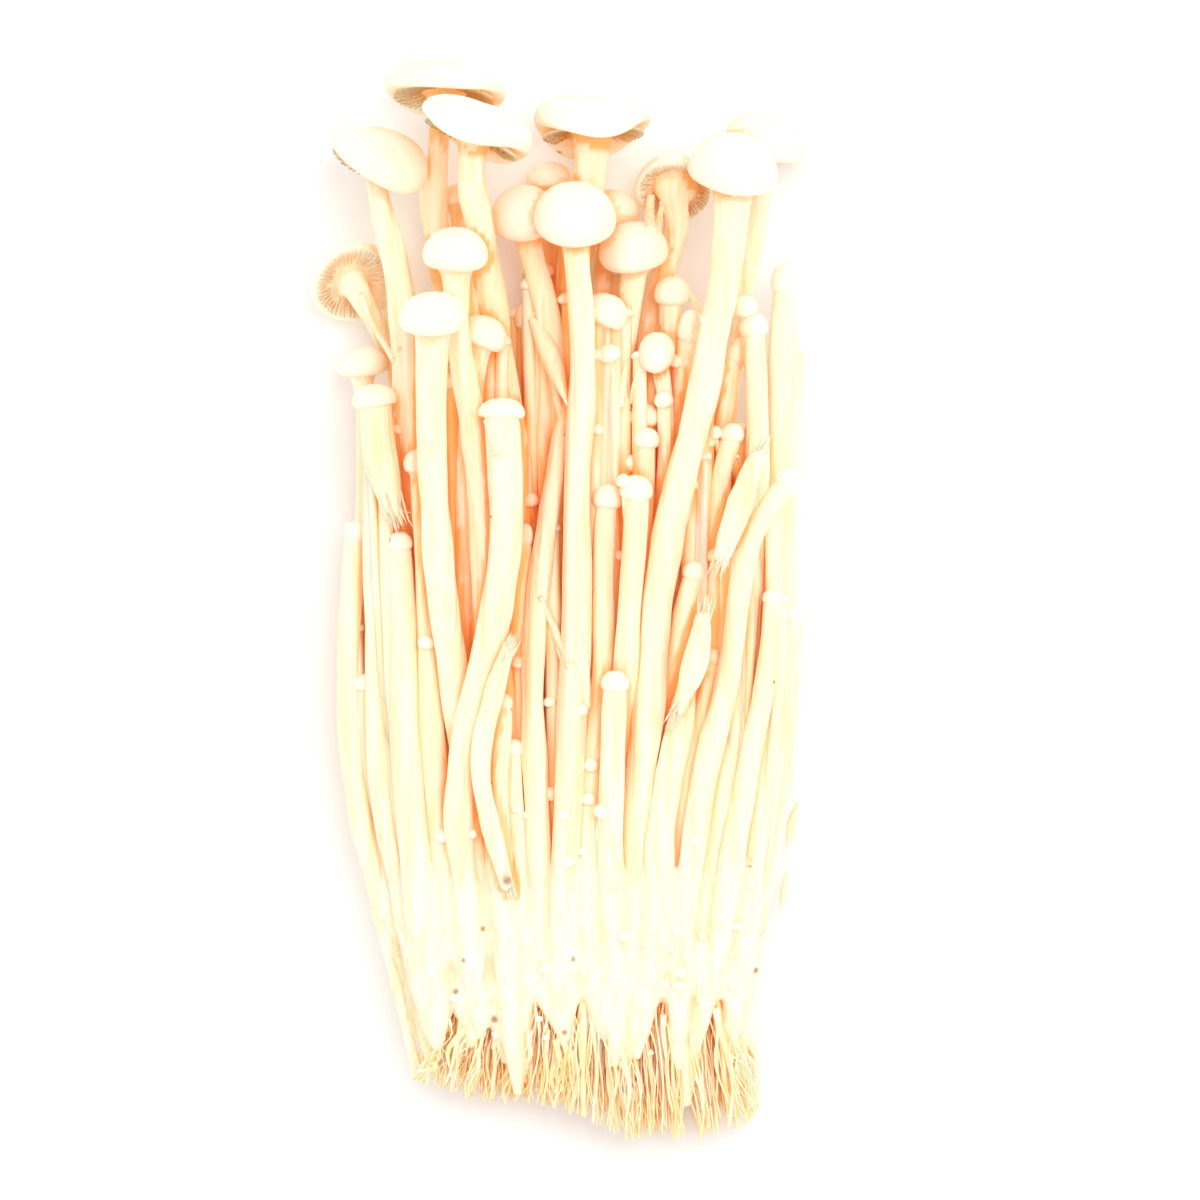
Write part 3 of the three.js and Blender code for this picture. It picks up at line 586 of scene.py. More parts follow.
def shape_mushroom(node, seed, capped=True, level=2, gills=0, torn=()):
    """A stem and its cap, shaped from their solid as one piece. Torn ends are ragged."""
    shape = bpy.context.scene.enoki_shape
    name = f"{node}_flesh"
    piece, rings = blank_of(node, name)
    mesh = piece.data
    sides = len(rings[1])
    if any(len(ring) != sides for ring in rings[1:-1]):
        raise RuntimeError(f"{node} isn't made of even rings")
    cap = np.zeros(len(mesh.vertices))
    if capped:
        for ring in rings[-CAP_RINGS - 1:]:
            cap[ring] = 1
    paint(mesh, "cap", cap)
    gill = np.zeros(len(mesh.vertices))
    if gills:
        for ring in rings[-CAP_RINGS - 2:-CAP_RINGS]:
            gill[ring] = 1
    paint(mesh, "gill", gill)
    cad_points = coordinates(mesh)
    factor = smoothing_factor(sides)
    stem_end = len(rings) - CAP_RINGS - 1 if capped else len(rings)
    crowding = np.interp([cad_points[ring, 1].mean() for ring in rings[1:stem_end]],
                         [ROOT_TIPS + 40 * MM, ROOT_TIPS + 110 * MM], [1.5, 0.2])
    for ring, share in zip(rings[1:stem_end], crowding):
        swell(mesh, [ring], factor, shape.plump * share)
    if capped:
        swell(mesh, rings[stem_end:-1], factor)
    for end in torn:
        tear(mesh, rings, end, random.Random(seed + end))
    modify(piece, "SUBSURF", levels=level, render_levels=level)
    uneven(mesh, seed, shape.grooves, shape.sway if sides > POLE_EDGES else 0.6 * shape.sway)
    mesh.materials.append(flesh())
    if gills:
        rng = random.Random(seed)
        blades = add_gills(f"{name}_gills", cad_points, rings, gills, rng)
        # The underside faces next to the gills take the gill material with its painted shade.
        mesh.materials.append(gill_flesh())
        under = painted(mesh, "gill")
        for face in mesh.polygons:
            face.material_index = int(all(under[corner] > 0.5 for corner in face.vertices))
        piece = join([piece, blades], name)
    return piece


class ENOKI_OT_mushrooms(bpy.types.Operator):
    """Shapes every whole mushroom from its solid."""

    bl_idname = "enoki.mushrooms"
    bl_label = "Mushrooms"

    def execute(self, context):
        gills = context.scene.enoki_shape.gills
        for seed, node in enumerate(name for kind in GROWN for name in nodes_of(kind)):
            broad = node.startswith("broad")
            level = 2 if node.startswith("slender") else 3
            piece = shape_mushroom(node, seed, level=level, gills=gills if broad else 0)
            settle(piece, replaces=[node])
        return {"FINISHED"}


# ------------------------------------------------------------------ broken stems

def spray(name, strands, thickness, resolution=1):
    """Thin round strands, each a list of (point, width factor), as one closed mesh."""
    curve = bpy.data.curves.new(name, "CURVE")
    curve.dimensions = "3D"
    curve.bevel_depth = thickness
    curve.bevel_resolution = resolution
    curve.use_fill_caps = True
    for strand in strands:
        spline = curve.splines.new("POLY")
        spline.points.add(len(strand) - 1)
        for point, (place, width) in zip(spline.points, strand):
            point.co = (*place, 1)
            point.radius = width
    piece = new_object(name, curve)
    only(piece)
    bpy.ops.object.convert(target="MESH")
    return bpy.context.view_layer.objects.active


def frayed_end(name, points, ring, inward, length, rng):
    """Torn fibres standing off a broken end, away from the stem."""
    middle = Vector(points[ring].mean(axis=0))
    outward = (middle - Vector(points[inward].mean(axis=0))).normalized()
    strands = []
    for index in ring * 9:
        start = middle.lerp(Vector(points[index]), rng.uniform(0.05, 0.7))
        lean = (start - middle) * rng.uniform(-0.5, 0.6)
        reach = length * rng.uniform(0.15, 1) ** 1.3
        tip = start + outward * reach + lean
        tip.z = max(tip.z, 0.5 * MM)
        bend = start.lerp(tip, 0.5) + lean * rng.uniform(-0.6, 0.2)
        width = rng.uniform(0.5, 1.9)
        strands.append([(start - outward * 2.5 * MM, width), (start, width),
                        (bend, 0.8 * width), (tip, 0.15)])
    return spray(name, strands, FIBRE_RADIUS)


def shape_broken(node, seed, capped, ends, length):
    """A torn stem: shaped as the others, with frayed fibres at its broken ends."""
    rng = random.Random(seed)
    source, rings = blank_of(node, f"{node}_rings")
    points = coordinates(source.data)
    bpy.data.objects.remove(source)
    torn = [ring for end, ring in (("foot", 1), ("top", -2)) if end in ends]
    pieces = [shape_mushroom(node, seed, capped=capped, level=3, torn=torn)]
    if "foot" in ends:
        pieces.append(frayed_end(f"{node}_foot", points, rings[1], rings[2], length, rng))
    if "top" in ends:
        pieces.append(frayed_end(f"{node}_top", points, rings[-2], rings[-3], length, rng))
    return join(pieces, f"{node}_flesh")


class ENOKI_OT_broken_stems(bpy.types.Operator):
    """Shapes the stems that were broken or torn in picking."""

    bl_idname = "enoki.broken_stems"
    bl_label = "Broken stems"

    def execute(self, context):
        work = [(node, ("foot",) if node.endswith("01") else ("foot", "top"))
                for node in nodes_of("broken_stem")]
        work += [(node, ("top",)) for node in nodes_of("topless_stem")]
        for seed, (node, ends) in enumerate(work, start=100):
            capped = node == "broken_stem_01"
            piece = shape_broken(node, seed, capped, ends, TORN_FIBRE)
            settle(piece, flesh(), [node])
        return {"FINISHED"}


# ------------------------------------------------------------------ fused base

# Lobes at the foot: (left edge, right edge, how low the middle reaches).
LOBES = ((-21, -14.7, 9.5), (-14.7, -9.5, 12.5), (-9.5, -3.1, 7), (-3.1, 3.6, 13), (3.6, 13.7, 8.5),
         (13.7, 20.6, 5.5), (20.6, 27.5, 10.5))
GAP_TOP = 20  # how high the gaps between the lobes reach
FOOT_WIDTH = 0.86  # how wide the base is at its foot, as a share of the bunch above it
BASE_VOXEL = 0.34 * MM
BASE_TOP = 32  # how high the fused base reaches


def stem_feet():
    """Where each rooted stem meets the base: the middles of its two lowest rings, and its radius."""
    feet = []
    for kind in (*GROWN, "topless_stem"):
        for node in nodes_of(kind):
            source, rings = blank_of(node, f"{node}_foot")
            points = coordinates(source.data)
            bpy.data.objects.remove(source)
            low, next_up = (points[ring].mean(axis=0) for ring in rings[1:3])
            radius = np.linalg.norm(points[rings[1]] - low, axis=1).mean()
            feet.append((Vector(low), Vector(next_up), radius / MM))
    return feet


def lobe_at(x):
    """Middle, half width and tip of the lobe at this place across the foot, in millimetres."""
    for left, right, tip in LOBES:
        if x < right:
            break
    return (left + right) / 2, (right - left) / 2, tip


def fused_columns(rng):
    """The stems' lower ends, running down into the base and together into its lobes."""
    columns = []
    for low, next_up, radius in stem_feet():
        x, z = (low.x - ACROSS_ZERO) / MM, low.z / MM
        foot_x = ACROSS_MIDDLE + (x - ACROSS_MIDDLE) * FOOT_WIDTH
        middle, half, tip = lobe_at(foot_x)
        foot_x += (middle - foot_x) * 0.45
        foot_z = 7.4 + (z - 9) * 0.66
        aside = min(1.0, abs(foot_x - middle) / half)
        foot_y = tip + (GAP_TOP - tip) * aside ** 1.4 + rng.uniform(-0.8, 2.5)
        rise = rng.uniform(-0.12, 0.3)
        strand = [(low.lerp(next_up, at + rise), radius + wider) for at, wider in
                  ((1.15, -0.6), (0.85, -0.1), (0.5, 0.38), (0.18, 0.55))]
        for y, share, width in ((32, 0.06, 1.32), (29, 0.2, 1.36), (25, 0.42, 1.38),
                                (20, 0.7, 1.3), (0.5 * (20 + foot_y), 0.88, 1.1),
                                (foot_y, 1.0, 0.45)):
            if y < foot_y:
                continue
            swing = rng.uniform(-0.4, 0.4) * share
            wide = max(radius, 1.35) * width
            column_z = max(z + (foot_z - z) * share, wide + 0.2)
            strand.append((along(x + (foot_x - x) * share + swing, y, column_z), wide))
        columns.append(strand)
    return columns


def hollowness(mesh, rounds=4):
    """How deep each vertex lies in a groove, from 0 to 1."""
    points = coordinates(mesh)
    normals = coordinates(mesh, "normal")
    edges = np.empty(len(mesh.edges) * 2, dtype=int)
    mesh.edges.foreach_get("vertices", edges)
    first, second = edges.reshape(-1, 2).T
    count = np.bincount(edges, minlength=len(points))[:, None]
    smooth = points
    for _ in range(rounds * 4):
        total = np.zeros_like(points)
        np.add.at(total, first, smooth[second])
        np.add.at(total, second, smooth[first])
        smooth = total / count
    depth = ((smooth - points) * normals).sum(axis=1)
    return np.clip((depth / MM - 0.12) / 0.6, 0, 1)


class ENOKI_OT_base(bpy.types.Operator):
    """Makes the fused base from the lower ends of the stems."""

    bl_idname = "enoki.base"
    bl_label = "Fused base"

    def execute(self, context):
        rng = random.Random(7)
        body = spray("fused_base_flesh", fused_columns(rng), MM, resolution=3)
        low, high = (Vector(corner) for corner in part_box("fused_base"))
        middle = (low + high) / 2
        bpy.ops.object.select_all(action="DESELECT")
        bpy.ops.mesh.primitive_cube_add(size=1, location=middle + Vector((0, 3.5 * MM, -0.4 * MM)))
        core = context.object
        core.dimensions = ((high.x - low.x) * 0.8, 12 * MM, (high.z - low.z) * 0.68)
        bpy.ops.object.transform_apply(location=True, rotation=True, scale=True)
        modify(core, "BEVEL", width=3 * MM, segments=3, limit_method="NONE")
        piece = join([body, core], "fused_base_flesh")
        modify(piece, "REMESH", mode="VOXEL", voxel_size=BASE_VOXEL)
        modify(piece, "SMOOTH", factor=0.5, iterations=4)
        mesh = piece.data
        points = coordinates(mesh)
        normals = coordinates(mesh, "normal")
        mat = np.exp(-((points[:, 1] - ROOT_TIPS - 26 * MM) / (6 * MM)) ** 2)
        ripple = (rough(points, (650, 25, 650), 3) - 0.2) * 0.25 * MM
        ripple += rough(points, (420, 260, 420), 5) * 0.75 * MM * mat
        ripple += rough(points, (1400, 1000, 1400), 9) * 0.16 * MM * mat
        points += normals * ripple[:, None]
        points[:, 2] = np.maximum(points[:, 2], 0.05 * MM)
        set_coordinates(mesh, points)
        # hollow: how much orange shade to paint in the grooves of the base, less on the cotton mat.
        paint(mesh, "hollow", hollowness(mesh) * (1 - 0.7 * mat))
        settle(piece, base_material(), ["fused_base"])
        return {"FINISHED"}


# ------------------------------------------------------------------ root fringe

# Lowest point of the fringe, from left to right: (across, from the root tips).
FRINGE_EDGE = ((-21, 9), (-20, 8), (-16, 7), (-12, 5.3), (-5, 5.4), (0, 4.3), (4, 3), (8, 0.6),
               (10, -0.1), (13, 0.8), (18, -0.1), (21, 1), (25, 1.5), (27.5, 3.4), (29.2, 5.5))


def fringe_edge(x):
    return float(np.interp(x, *zip(*FRINGE_EDGE)))


def root_strand(tip_x, thick, rng):
    """One strand, from between the lobes down to the cut edge, with its width in millimetres."""
    top_x = 3.2 + (tip_x - 3.2) * 0.9
    middle, half, _ = lobe_at(top_x)
    aside = min(1.0, abs(top_x - middle) / half)
    shell = rng.random() ** 0.45
    side = rng.uniform(0, 2 * math.pi)
    top_z = 7.6 + 6.4 * shell * math.sin(side)
    tip_z = 6.2 + 5.4 * shell * math.sin(side)
    top_y = 12 + 10 * aside ** 1.3 + rng.uniform(-2, 3)
    tip_y = fringe_edge(tip_x) + abs(rng.gauss(0, 2.2 if thick else 1.3))
    bend = [rng.uniform(-1, 1) * reach for reach in (1.1, 0.5, 0.8)]
    start = rng.uniform(0, 6)
    strand = []
    for t in np.linspace(0, 1, 8):
        curl = math.sin(math.pi * t)
        wiggle = 0.3 * math.sin(start + 7 * t)
        x = top_x + (tip_x - top_x) * t ** 1.2 + bend[0] * curl + wiggle
        y = top_y + (tip_y - top_y) * t + bend[1] * curl
        z = max(top_z + (tip_z - top_z) * t + bend[2] * curl, thick + 0.3)
        width = thick * (1 - 0.6 * t) * rng.uniform(0.8, 1.2)
        strand.append((along(x, y, z), max(width, 0.07)))
    return strand


def root_strands(tuft, count, rng):
    """Fine and thicker strands of one tuft, gathered in clumps."""
    low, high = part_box(tuft)
    left, right = (low[0] - ACROSS_ZERO) / MM - 0.2, (high[0] - ACROSS_ZERO) / MM + 0.2
    clumps = [rng.uniform(left, right) for _ in range(9)]
    strands = []
    for i in range(count):
        tip_x = rng.uniform(left, right)
        nearest = min(clumps, key=lambda clump: abs(clump - tip_x))
        tip_x += (nearest - tip_x) * 0.45
        thick = rng.uniform(0.24, 0.55) if i % 5 == 0 else rng.uniform(0.08, 0.2)
        strands.append(root_strand(tip_x, thick, rng))
    return strands


class ENOKI_OT_root_fringe(bpy.types.Operator):
    """Makes the fringe of cut root strands under the base."""

    bl_idname = "enoki.root_fringe"
    bl_label = "Root fringe"

    def execute(self, context):
        count = context.scene.enoki_shape.strands
        material = strand_material()
        for seed, tuft in enumerate(nodes_of("root_tuft"), start=40):
            strands = root_strands(tuft, count, random.Random(seed))
            piece = spray(f"{tuft}_strands", strands, MM)
            settle(piece, material, [tuft])
        return {"FINISHED"}


# ------------------------------------------------------------------ young shoots

# Pinheads between the stems: (across, from the root tips, width).
PINHEADS = (
    (4.2, 52.9, 2.3), (3.8, 48.2, 2.2), (5.6, 46.5, 2.5), (1, 39.5, 2.1), (2.8, 40.9, 1.3),
    (-1.5, 48.8, 2.4), (0.2, 46, 1.9), (-6.3, 46.9, 1.9), (-5, 46, 1.3), (18.7, 42.3, 1.6),
    (8.5, 29, 1.6), (-2.3, 24.5, 1.8), (14.5, 22.2, 1.5), (16.3, 22.2, 1.8), (19.3, 22.7, 1.4),
    (16.7, 24, 1.9), (12.4, 23, 1.3), (16, 30, 1.5), (24, 22, 1.4), (-16.6, 43, 2.5),
    (-12.5, 43.4, 1.5), (-1.6, 61.7, 2.1), (2.8, 60.6, 2.0), (-6.1, 67.2, 2.3), (-18.9, 70, 2.6),
    (-4.4, 89.8, 2.7), (8, 82.1, 1.6), (14.3, 103.8, 2.9), (9.8, 94.9, 2.9), (8.6, 92.4, 2.2),
    (4.9, 99.7, 1.8), (16, 109.3, 2.6), (-22.8, 99.8, 2.0), (25.6, 116.8, 4.0), (21.4, 99.3, 2.4),
    (6.6, 110.2, 3.7), (25.7, 117.6, 3.4), (-7.6, 22.8, 1.2), (-15.2, 20.4, 1.3), (-3.2, 17.4, 1.2),
    (-9.3, 15.2, 1.2), (12.2, 15.4, 1.3), (12.4, 12.6, 1.2), (-2.2, 14.8, 1.0), (-9.6, 18.4, 1.1),
    (17.4, 26.4, 1.6), (19.6, 29, 1.4), (24.4, 30.4, 1.5), (26.4, 36.2, 1.5), (15.2, 27.4, 1.2),
)


def pinhead(name):
    """One small round head on a short stalk, growing along +Y, one unit wide."""
    bpy.ops.object.select_all(action="DESELECT")
    bpy.ops.mesh.primitive_uv_sphere_add(segments=14, ring_count=9, radius=0.5)
    piece = bpy.context.object
    piece.name = name
    mesh = piece.data
    points = coordinates(mesh)
    under = points[:, 2] < 0
    points[under, 2] *= 0.55
    set_coordinates(mesh, points)
    bpy.ops.object.mode_set(mode="EDIT")
    bpy.ops.mesh.select_mode(type="FACE")
    bpy.ops.mesh.select_all(action="DESELECT")
    shape = bmesh.from_edit_mesh(mesh)
    for face in shape.faces:
        face.select = face.calc_center_median().z < -0.24
    bmesh.update_edit_mesh(mesh)
    for reach, width in ((0.1, 1.0), (0.7, 1.1), (1.2, 1.1)):
        bpy.ops.mesh.extrude_region_move(TRANSFORM_OT_translate={"value": (0, 0, -reach)})
        bpy.ops.transform.resize(value=(width, width, 1))
    bpy.ops.object.mode_set(mode="OBJECT")
    mesh.transform(Matrix.Rotation(math.radians(-90), 4, "X"))
    points = coordinates(mesh)
    paint(mesh, "cap", (points[:, 1] > -0.25).astype(float))
    modify(piece, "SUBSURF", levels=1, render_levels=1)
    return piece


class ENOKI_OT_pinheads(bpy.types.Operator):
    """Sets the pinheads between the stems."""

    bl_idname = "enoki.pinheads"
    bl_label = "Pinheads"

    def execute(self, context):
        rng = random.Random(11)
        ground = tree_of(finished_pieces())
        pattern = pinhead("pinhead_pattern")
        copies = []
        for x, y, width in PINHEADS:
            found = ground.ray_cast(along(x, y - 0.4 * width, OVERHEAD), DOWN)[0]
            if not found:
                continue
            mesh = pattern.data.copy()
            size = width * MM
            place = along(x, y)
            place.z = found.z + (0.25 if y < BASE_TOP else -0.05) * size
            lean = Matrix.Rotation(rng.uniform(-0.25, 0.25), 4, "Z")
            tilt = Matrix.Rotation(rng.uniform(0.3, 0.6), 4, "X")
            squash = Matrix.Diagonal((1, rng.uniform(0.85, 1.15), 0.95, 1))
            mesh.transform(Matrix.Translation(place) @ lean @ tilt @ squash @ Matrix.Scale(size, 4))
            copies.append(new_object("pinhead", mesh))
        bpy.data.objects.remove(pattern)
        piece = join(copies, "pinheads")
        settle(piece, flesh())
        return {"FINISHED"}


HIDDEN_HEAD = 30  # how much it counts for a shoot that its head is out of sight
LOW_SHOOTS = 24  # shoots in the lowest layer
SHOOT_FOOT = 26  # how high in the base the shoots start
SHOOT_FOOT_WIDTH = 0.8  # how wide they stand there, as a share of the bunch above


class Cover:
    """How high the bunch stands at each place seen from above."""

    def __init__(self):
        self.across = np.arange(-31, 34, 0.5)
        self.up = np.arange(36, 134, 2.0)
        tree = tree_of(finished_pieces())
        self.height = np.zeros((len(self.across), len(self.up)))
        for i, x in enumerate(self.across):
            for j, y in enumerate(self.up):
                place = tree.ray_cast(along(x, y, OVERHEAD), DOWN)[0]
                self.height[i, j] = place.z / MM if place else 0.0

    def level(self, x, y):
        i = int(round((x - self.across[0]) / 0.5))
        j = int(round((y - self.up[0]) / 2))
        return self.height[min(max(i, 0), len(self.across) - 1), min(max(j, 0), len(self.up) - 1)]

    def gain(self, route):
        """How much of a shoot would be seen where now there is nothing as high."""
        x, y, z, _ = route[-1]
        score = HIDDEN_HEAD if self.level(x, y) > z + 1.5 else 0
        for x, y, z, _ in route:
            score += self.level(x, y) < z
        return score

    def fill(self, route):
        for x, y, z, radius in route:
            near = np.abs(self.across - x) < radius
            j = int(round((y - self.up[0]) / 2))
            if 0 <= j < len(self.up):
                self.height[near, j] = np.maximum(self.height[near, j], z)


def bunch_sides(y):
    """Left and right edge of the dense part of the bunch at this height."""
    heights = (36, 75, 95, 104, 112, 126)
    return (float(np.interp(y, heights, (-25.5, -29.5, -28, -24, -15, -12))),
            float(np.interp(y, heights, (28.5, 32.5, 30, 24, 10, 7))))


def shoot_route(rng, place=None):
    """A thin shoot from the base up between the stems: (across, up, height, radius) in mm.
    One with a place, from 0 to 1 across the bunch, is part of the lowest layer."""
    low = place is not None
    top = rng.uniform(90, 102) if low else rng.uniform(60, 124)
    left, right = bunch_sides(top)
    x = left + (right - left) * (place if low else rng.random())
    foot = ACROSS_MIDDLE + (x - ACROSS_MIDDLE) * SHOOT_FOOT_WIDTH
    bow = rng.uniform(-0.8, 0.8)
    depth = rng.uniform(2.6, 4.6) if low else rng.uniform(3.5, 14)
    radius = rng.uniform(1.3, 1.7) if low else rng.uniform(1.0, 1.7)
    route = []
    for y in np.arange(SHOOT_FOOT, top, 2.0):
        t = (y - SHOOT_FOOT) / (top - SHOOT_FOOT)
        across = foot + (x - foot) * math.sin(t * math.pi / 2) + bow * math.sin(math.pi * t)
        width = radius * min(1.05 - 0.25 * t, 0.2 + 0.25 * (y - SHOOT_FOOT))
        route.append((across, y, depth + 0.6 * math.sin(3 * t + x), width))
    return route


class ENOKI_OT_shoots(bpy.types.Operator):
    """Fills the spaces between the stems with thin shoots."""

    bl_idname = "enoki.shoots"
    bl_label = "Thin shoots"

    def execute(self, context):
        rng = random.Random(23)
        cover = Cover()
        heads = []
        strands = []
        pattern = pinhead("shoot_pattern")
        routes = [shoot_route(rng, (i + 0.5) / LOW_SHOOTS) for i in range(LOW_SHOOTS)]
        for route in routes:
            cover.fill(route)
        for _ in range(context.scene.enoki_shape.shoots):
            routes.append(max((shoot_route(rng) for _ in range(60)), key=cover.gain))
            cover.fill(routes[-1])
        for route in routes:
            points = route[::2] + route[-1:]
            strands.append([(along(x, y, z), radius) for x, y, z, radius in points])
            mesh = pattern.data.copy()
            size = 2 * route[-1][3] * rng.uniform(0.95, 1.3) * MM
            shape = Matrix.Diagonal((rng.uniform(1, 1.25) * size, rng.uniform(0.8, 1.3) * size,
                                     1.1 * size, 1))
            mesh.transform(Matrix.Translation(strands[-1][-1][0]) @ shape)
            heads.append(new_object("shoot_head", mesh))
        bpy.data.objects.remove(pattern)
        stems = spray("thin_shoots", strands, MM, resolution=3)
        paint(stems.data, "cap", np.zeros(len(stems.data.vertices)))
        uneven(stems.data, 23, context.scene.enoki_shape.grooves, 0.2 * MM)
        piece = join([stems, *heads], "thin_shoots")
        settle(piece, flesh())
        return {"FINISHED"}


# ------------------------------------------------------------------ torn strips

# Strips torn off stems and caps: points (across, from the root tips) and widths, in millimetres.
TORN_STRIPS = (
    (((12.4, 127.6), (12.2, 130.5), (12.5, 133.2)), (1.0, 0.95, 0.8)),
    (((13.2, 127.4), (13.7, 129.6), (14.2, 131.9)), (0.8, 0.8, 0.6)),
    (((-23.4, 109.5), (-25.6, 113), (-27.6, 117), (-28.2, 119)), (0.6, 0.6, 0.5, 0.3)),
    (((-22.6, 111), (-24.4, 114.5), (-25.2, 118)), (0.5, 0.5, 0.25)),
    (((19.8, 115), (18.6, 118), (17.2, 120.8)), (0.7, 0.6, 0.3)),
    (((1.2, 67), (-0.4, 70.5), (-1.8, 73.8), (-3, 76.5)), (0.8, 0.9, 0.6, 0.3)),
    (((0.6, 66), (-0.6, 69), (-0.9, 72.6)), (0.5, 0.6, 0.3)),
    (((3.6, 61), (3.4, 66), (3, 71.5)), (0.6, 0.7, 0.3)),
    (((0.8, 103), (-0.6, 108), (-2.4, 112.6), (-4.2, 115.4)), (0.3, 1.4, 1.5, 0.7)),
    (((0.4, 99), (-0.4, 104), (-1.6, 109)), (0.3, 1.1, 0.3)),
    (((8.2, 103), (8.6, 106), (9, 109.4)), (0.3, 0.8, 0.2)),
    (((9.6, 103.5), (10.2, 106.4), (11, 108.6)), (0.3, 0.7, 0.2)),
    (((-8.8, 96), (-9.4, 98.6), (-10.6, 100.8)), (0.7, 0.7, 0.3)),
    (((32, 41.6), (32.4, 44.6), (33.2, 47.4)), (0.3, 1.0, 0.3)),
    (((30.8, 32.6), (31.4, 35.4), (31.8, 38)), (0.2, 0.7, 0.3)),
    (((24, 92.4), (24.2, 94.4), (24.4, 96.2)), (0.5, 1.5, 0.5)),
    (((-26.6, 33), (-24.6, 27), (-22.4, 19), (-20.6, 9)), (0.5, 0.6, 0.6, 0.3)),
    (((-25.2, 31), (-23.6, 25), (-21.4, 15), (-19.4, 8)), (0.4, 0.5, 0.5, 0.3)),
)


class ENOKI_OT_torn_strips(bpy.types.Operator):
    """Lays strips of torn flesh on the stems under them."""

    bl_idname = "enoki.torn_strips"
    bl_label = "Torn strips"

    def execute(self, context):
        tree = tree_of(finished_pieces())
        strands = []
        for places, widths in TORN_STRIPS:
            strand = []
            for (x, y), width in zip(places, widths):
                start = along(x, y, OVERHEAD)
                found = tree.ray_cast(start, DOWN)[0]
                height = found.z if found else 5 * MM
                strand.append(((start.x, start.y, height + 0.3 * width * MM), width))
            strands.append(strand)
        piece = spray("torn_strips", strands, MM, resolution=2)
        modify(piece, "SUBSURF", levels=1, render_levels=1)
        paint(piece.data, "cap", np.zeros(len(piece.data.vertices)))
        uneven(piece.data, 31, context.scene.enoki_shape.grooves, 0.25 * MM)
        settle(piece, flesh())
        return {"FINISHED"}


# ------------------------------------------------------------------ painted depth shade and bruises

# Brown spots: (across, from the root tips, width) in millimetres.
BRUISES = (
    (-0.5, 139, 1.2), (-24.2, 84.5, 1.0), (-7.6, 37.2, 1.8), (-11, 30.2, 0.9), (-13.7, 25.8, 0.8),
    (0.4, 15.6, 1.0), (2.7, 13.2, 0.8), (1.6, 26, 0.9), (26.2, 38.9, 0.7), (10, 0.8, 1.2),
    (24.6, 95.6, 1.1), (27.2, 24, 1.2), (-14.8, 21.4, 1.1), (-9.4, 17.4, 1.3), (13, 9.6, 1.4),
)
ENVELOPE_STEP = 0.6 * MM  # spacing of the lines along which the bunch's outside is found
DEEP_FROM = 0.6 * MM  # depth under the outside from which orange shade is painted on the flesh
DEEP_SPAN = 2.8 * MM


class Envelope:
    """The outside of the bunch as met by looking along one axis from one end of it."""

    def __init__(self, tree, axis, sign, low, high):
        self.axis, self.sign = axis, sign
        self.others = [i for i in range(3) if i != axis]
        self.low = np.array([low[i] for i in self.others])
        spans = [np.arange(low[i], high[i] + ENVELOPE_STEP, ENVELOPE_STEP) for i in self.others]
        direction = Vector((0, 0, 0))
        direction[axis] = -sign
        found = np.full([len(span) for span in spans], np.nan)
        for i, u in enumerate(spans[0]):
            for j, v in enumerate(spans[1]):
                start = Vector((0, 0, 0))
                start[axis] = sign
                start[self.others[0]], start[self.others[1]] = u, v
                place = tree.ray_cast(start, direction)[0]
                if place:
                    found[i, j] = sign * place[axis]
        padded = np.pad(found, 2, constant_values=np.nan)
        near = [padded[2 + i:padded.shape[0] - 2 + i, 2 + j:padded.shape[1] - 2 + j]
                for i in (-2, -1, 0, 1, 2) for j in (-2, 0, 2)]
        known = np.isfinite(near)
        mean = np.where(known, near, 0).sum(axis=0) / np.maximum(known.sum(axis=0), 1)
        ranked = np.sort(np.where(known, near, mean), axis=0)
        self.level = 0.4 * mean + 0.6 * ranked[-4]  # the highest would be lone fibres

    def depth(self, points):
        """How far under the outside each point lies."""
        index = np.rint((points[:, self.others] - self.low) / ENVELOPE_STEP).astype(int)
        index = np.clip(index, 0, np.array(self.level.shape) - 1)
        return self.level[index[:, 0], index[:, 1]] - self.sign * points[:, self.axis]


class ENOKI_OT_depth(bpy.types.Operator):
    """Paints orange shade on the flesh by how deep between its neighbours each part lies, and marks
    its bruises.
    """

    bl_idname = "enoki.depth"
    bl_label = "Painted depth shade and bruises"

    def execute(self, context):
        pieces = finished_pieces()
        tree = tree_of(pieces)
        low, high = BUNCH_BOX
        sides = [Envelope(tree, axis, sign, low, high) for axis in (0, 2) for sign in (-1, 1)]
        for piece in pieces:
            mesh = piece.data
            points = coordinates(mesh)
            hidden = np.min([side.depth(points) for side in sides], axis=0)
            # deep: share of the painted orange shade, from how far each point lies under the
            # outside; halved on caps.
            deep = np.clip((hidden - DEEP_FROM) / DEEP_SPAN, 0, 1)
            if "cap" in mesh.attributes:
                deep *= 1 - 0.5 * painted(mesh, "cap")
            paint(mesh, "deep", deep)
            stain = np.zeros(len(points))
            for x, y, width in BRUISES:
                spot = along(x, y)
                away = np.hypot(points[:, 0] - spot.x, points[:, 1] - spot.y)
                stain = np.maximum(stain, np.clip(1.6 - away / (0.3 * width * MM), 0, 0.9))
            paint(mesh, "bruise", stain)
        return {"FINISHED"}


# ------------------------------------------------------------------ stage

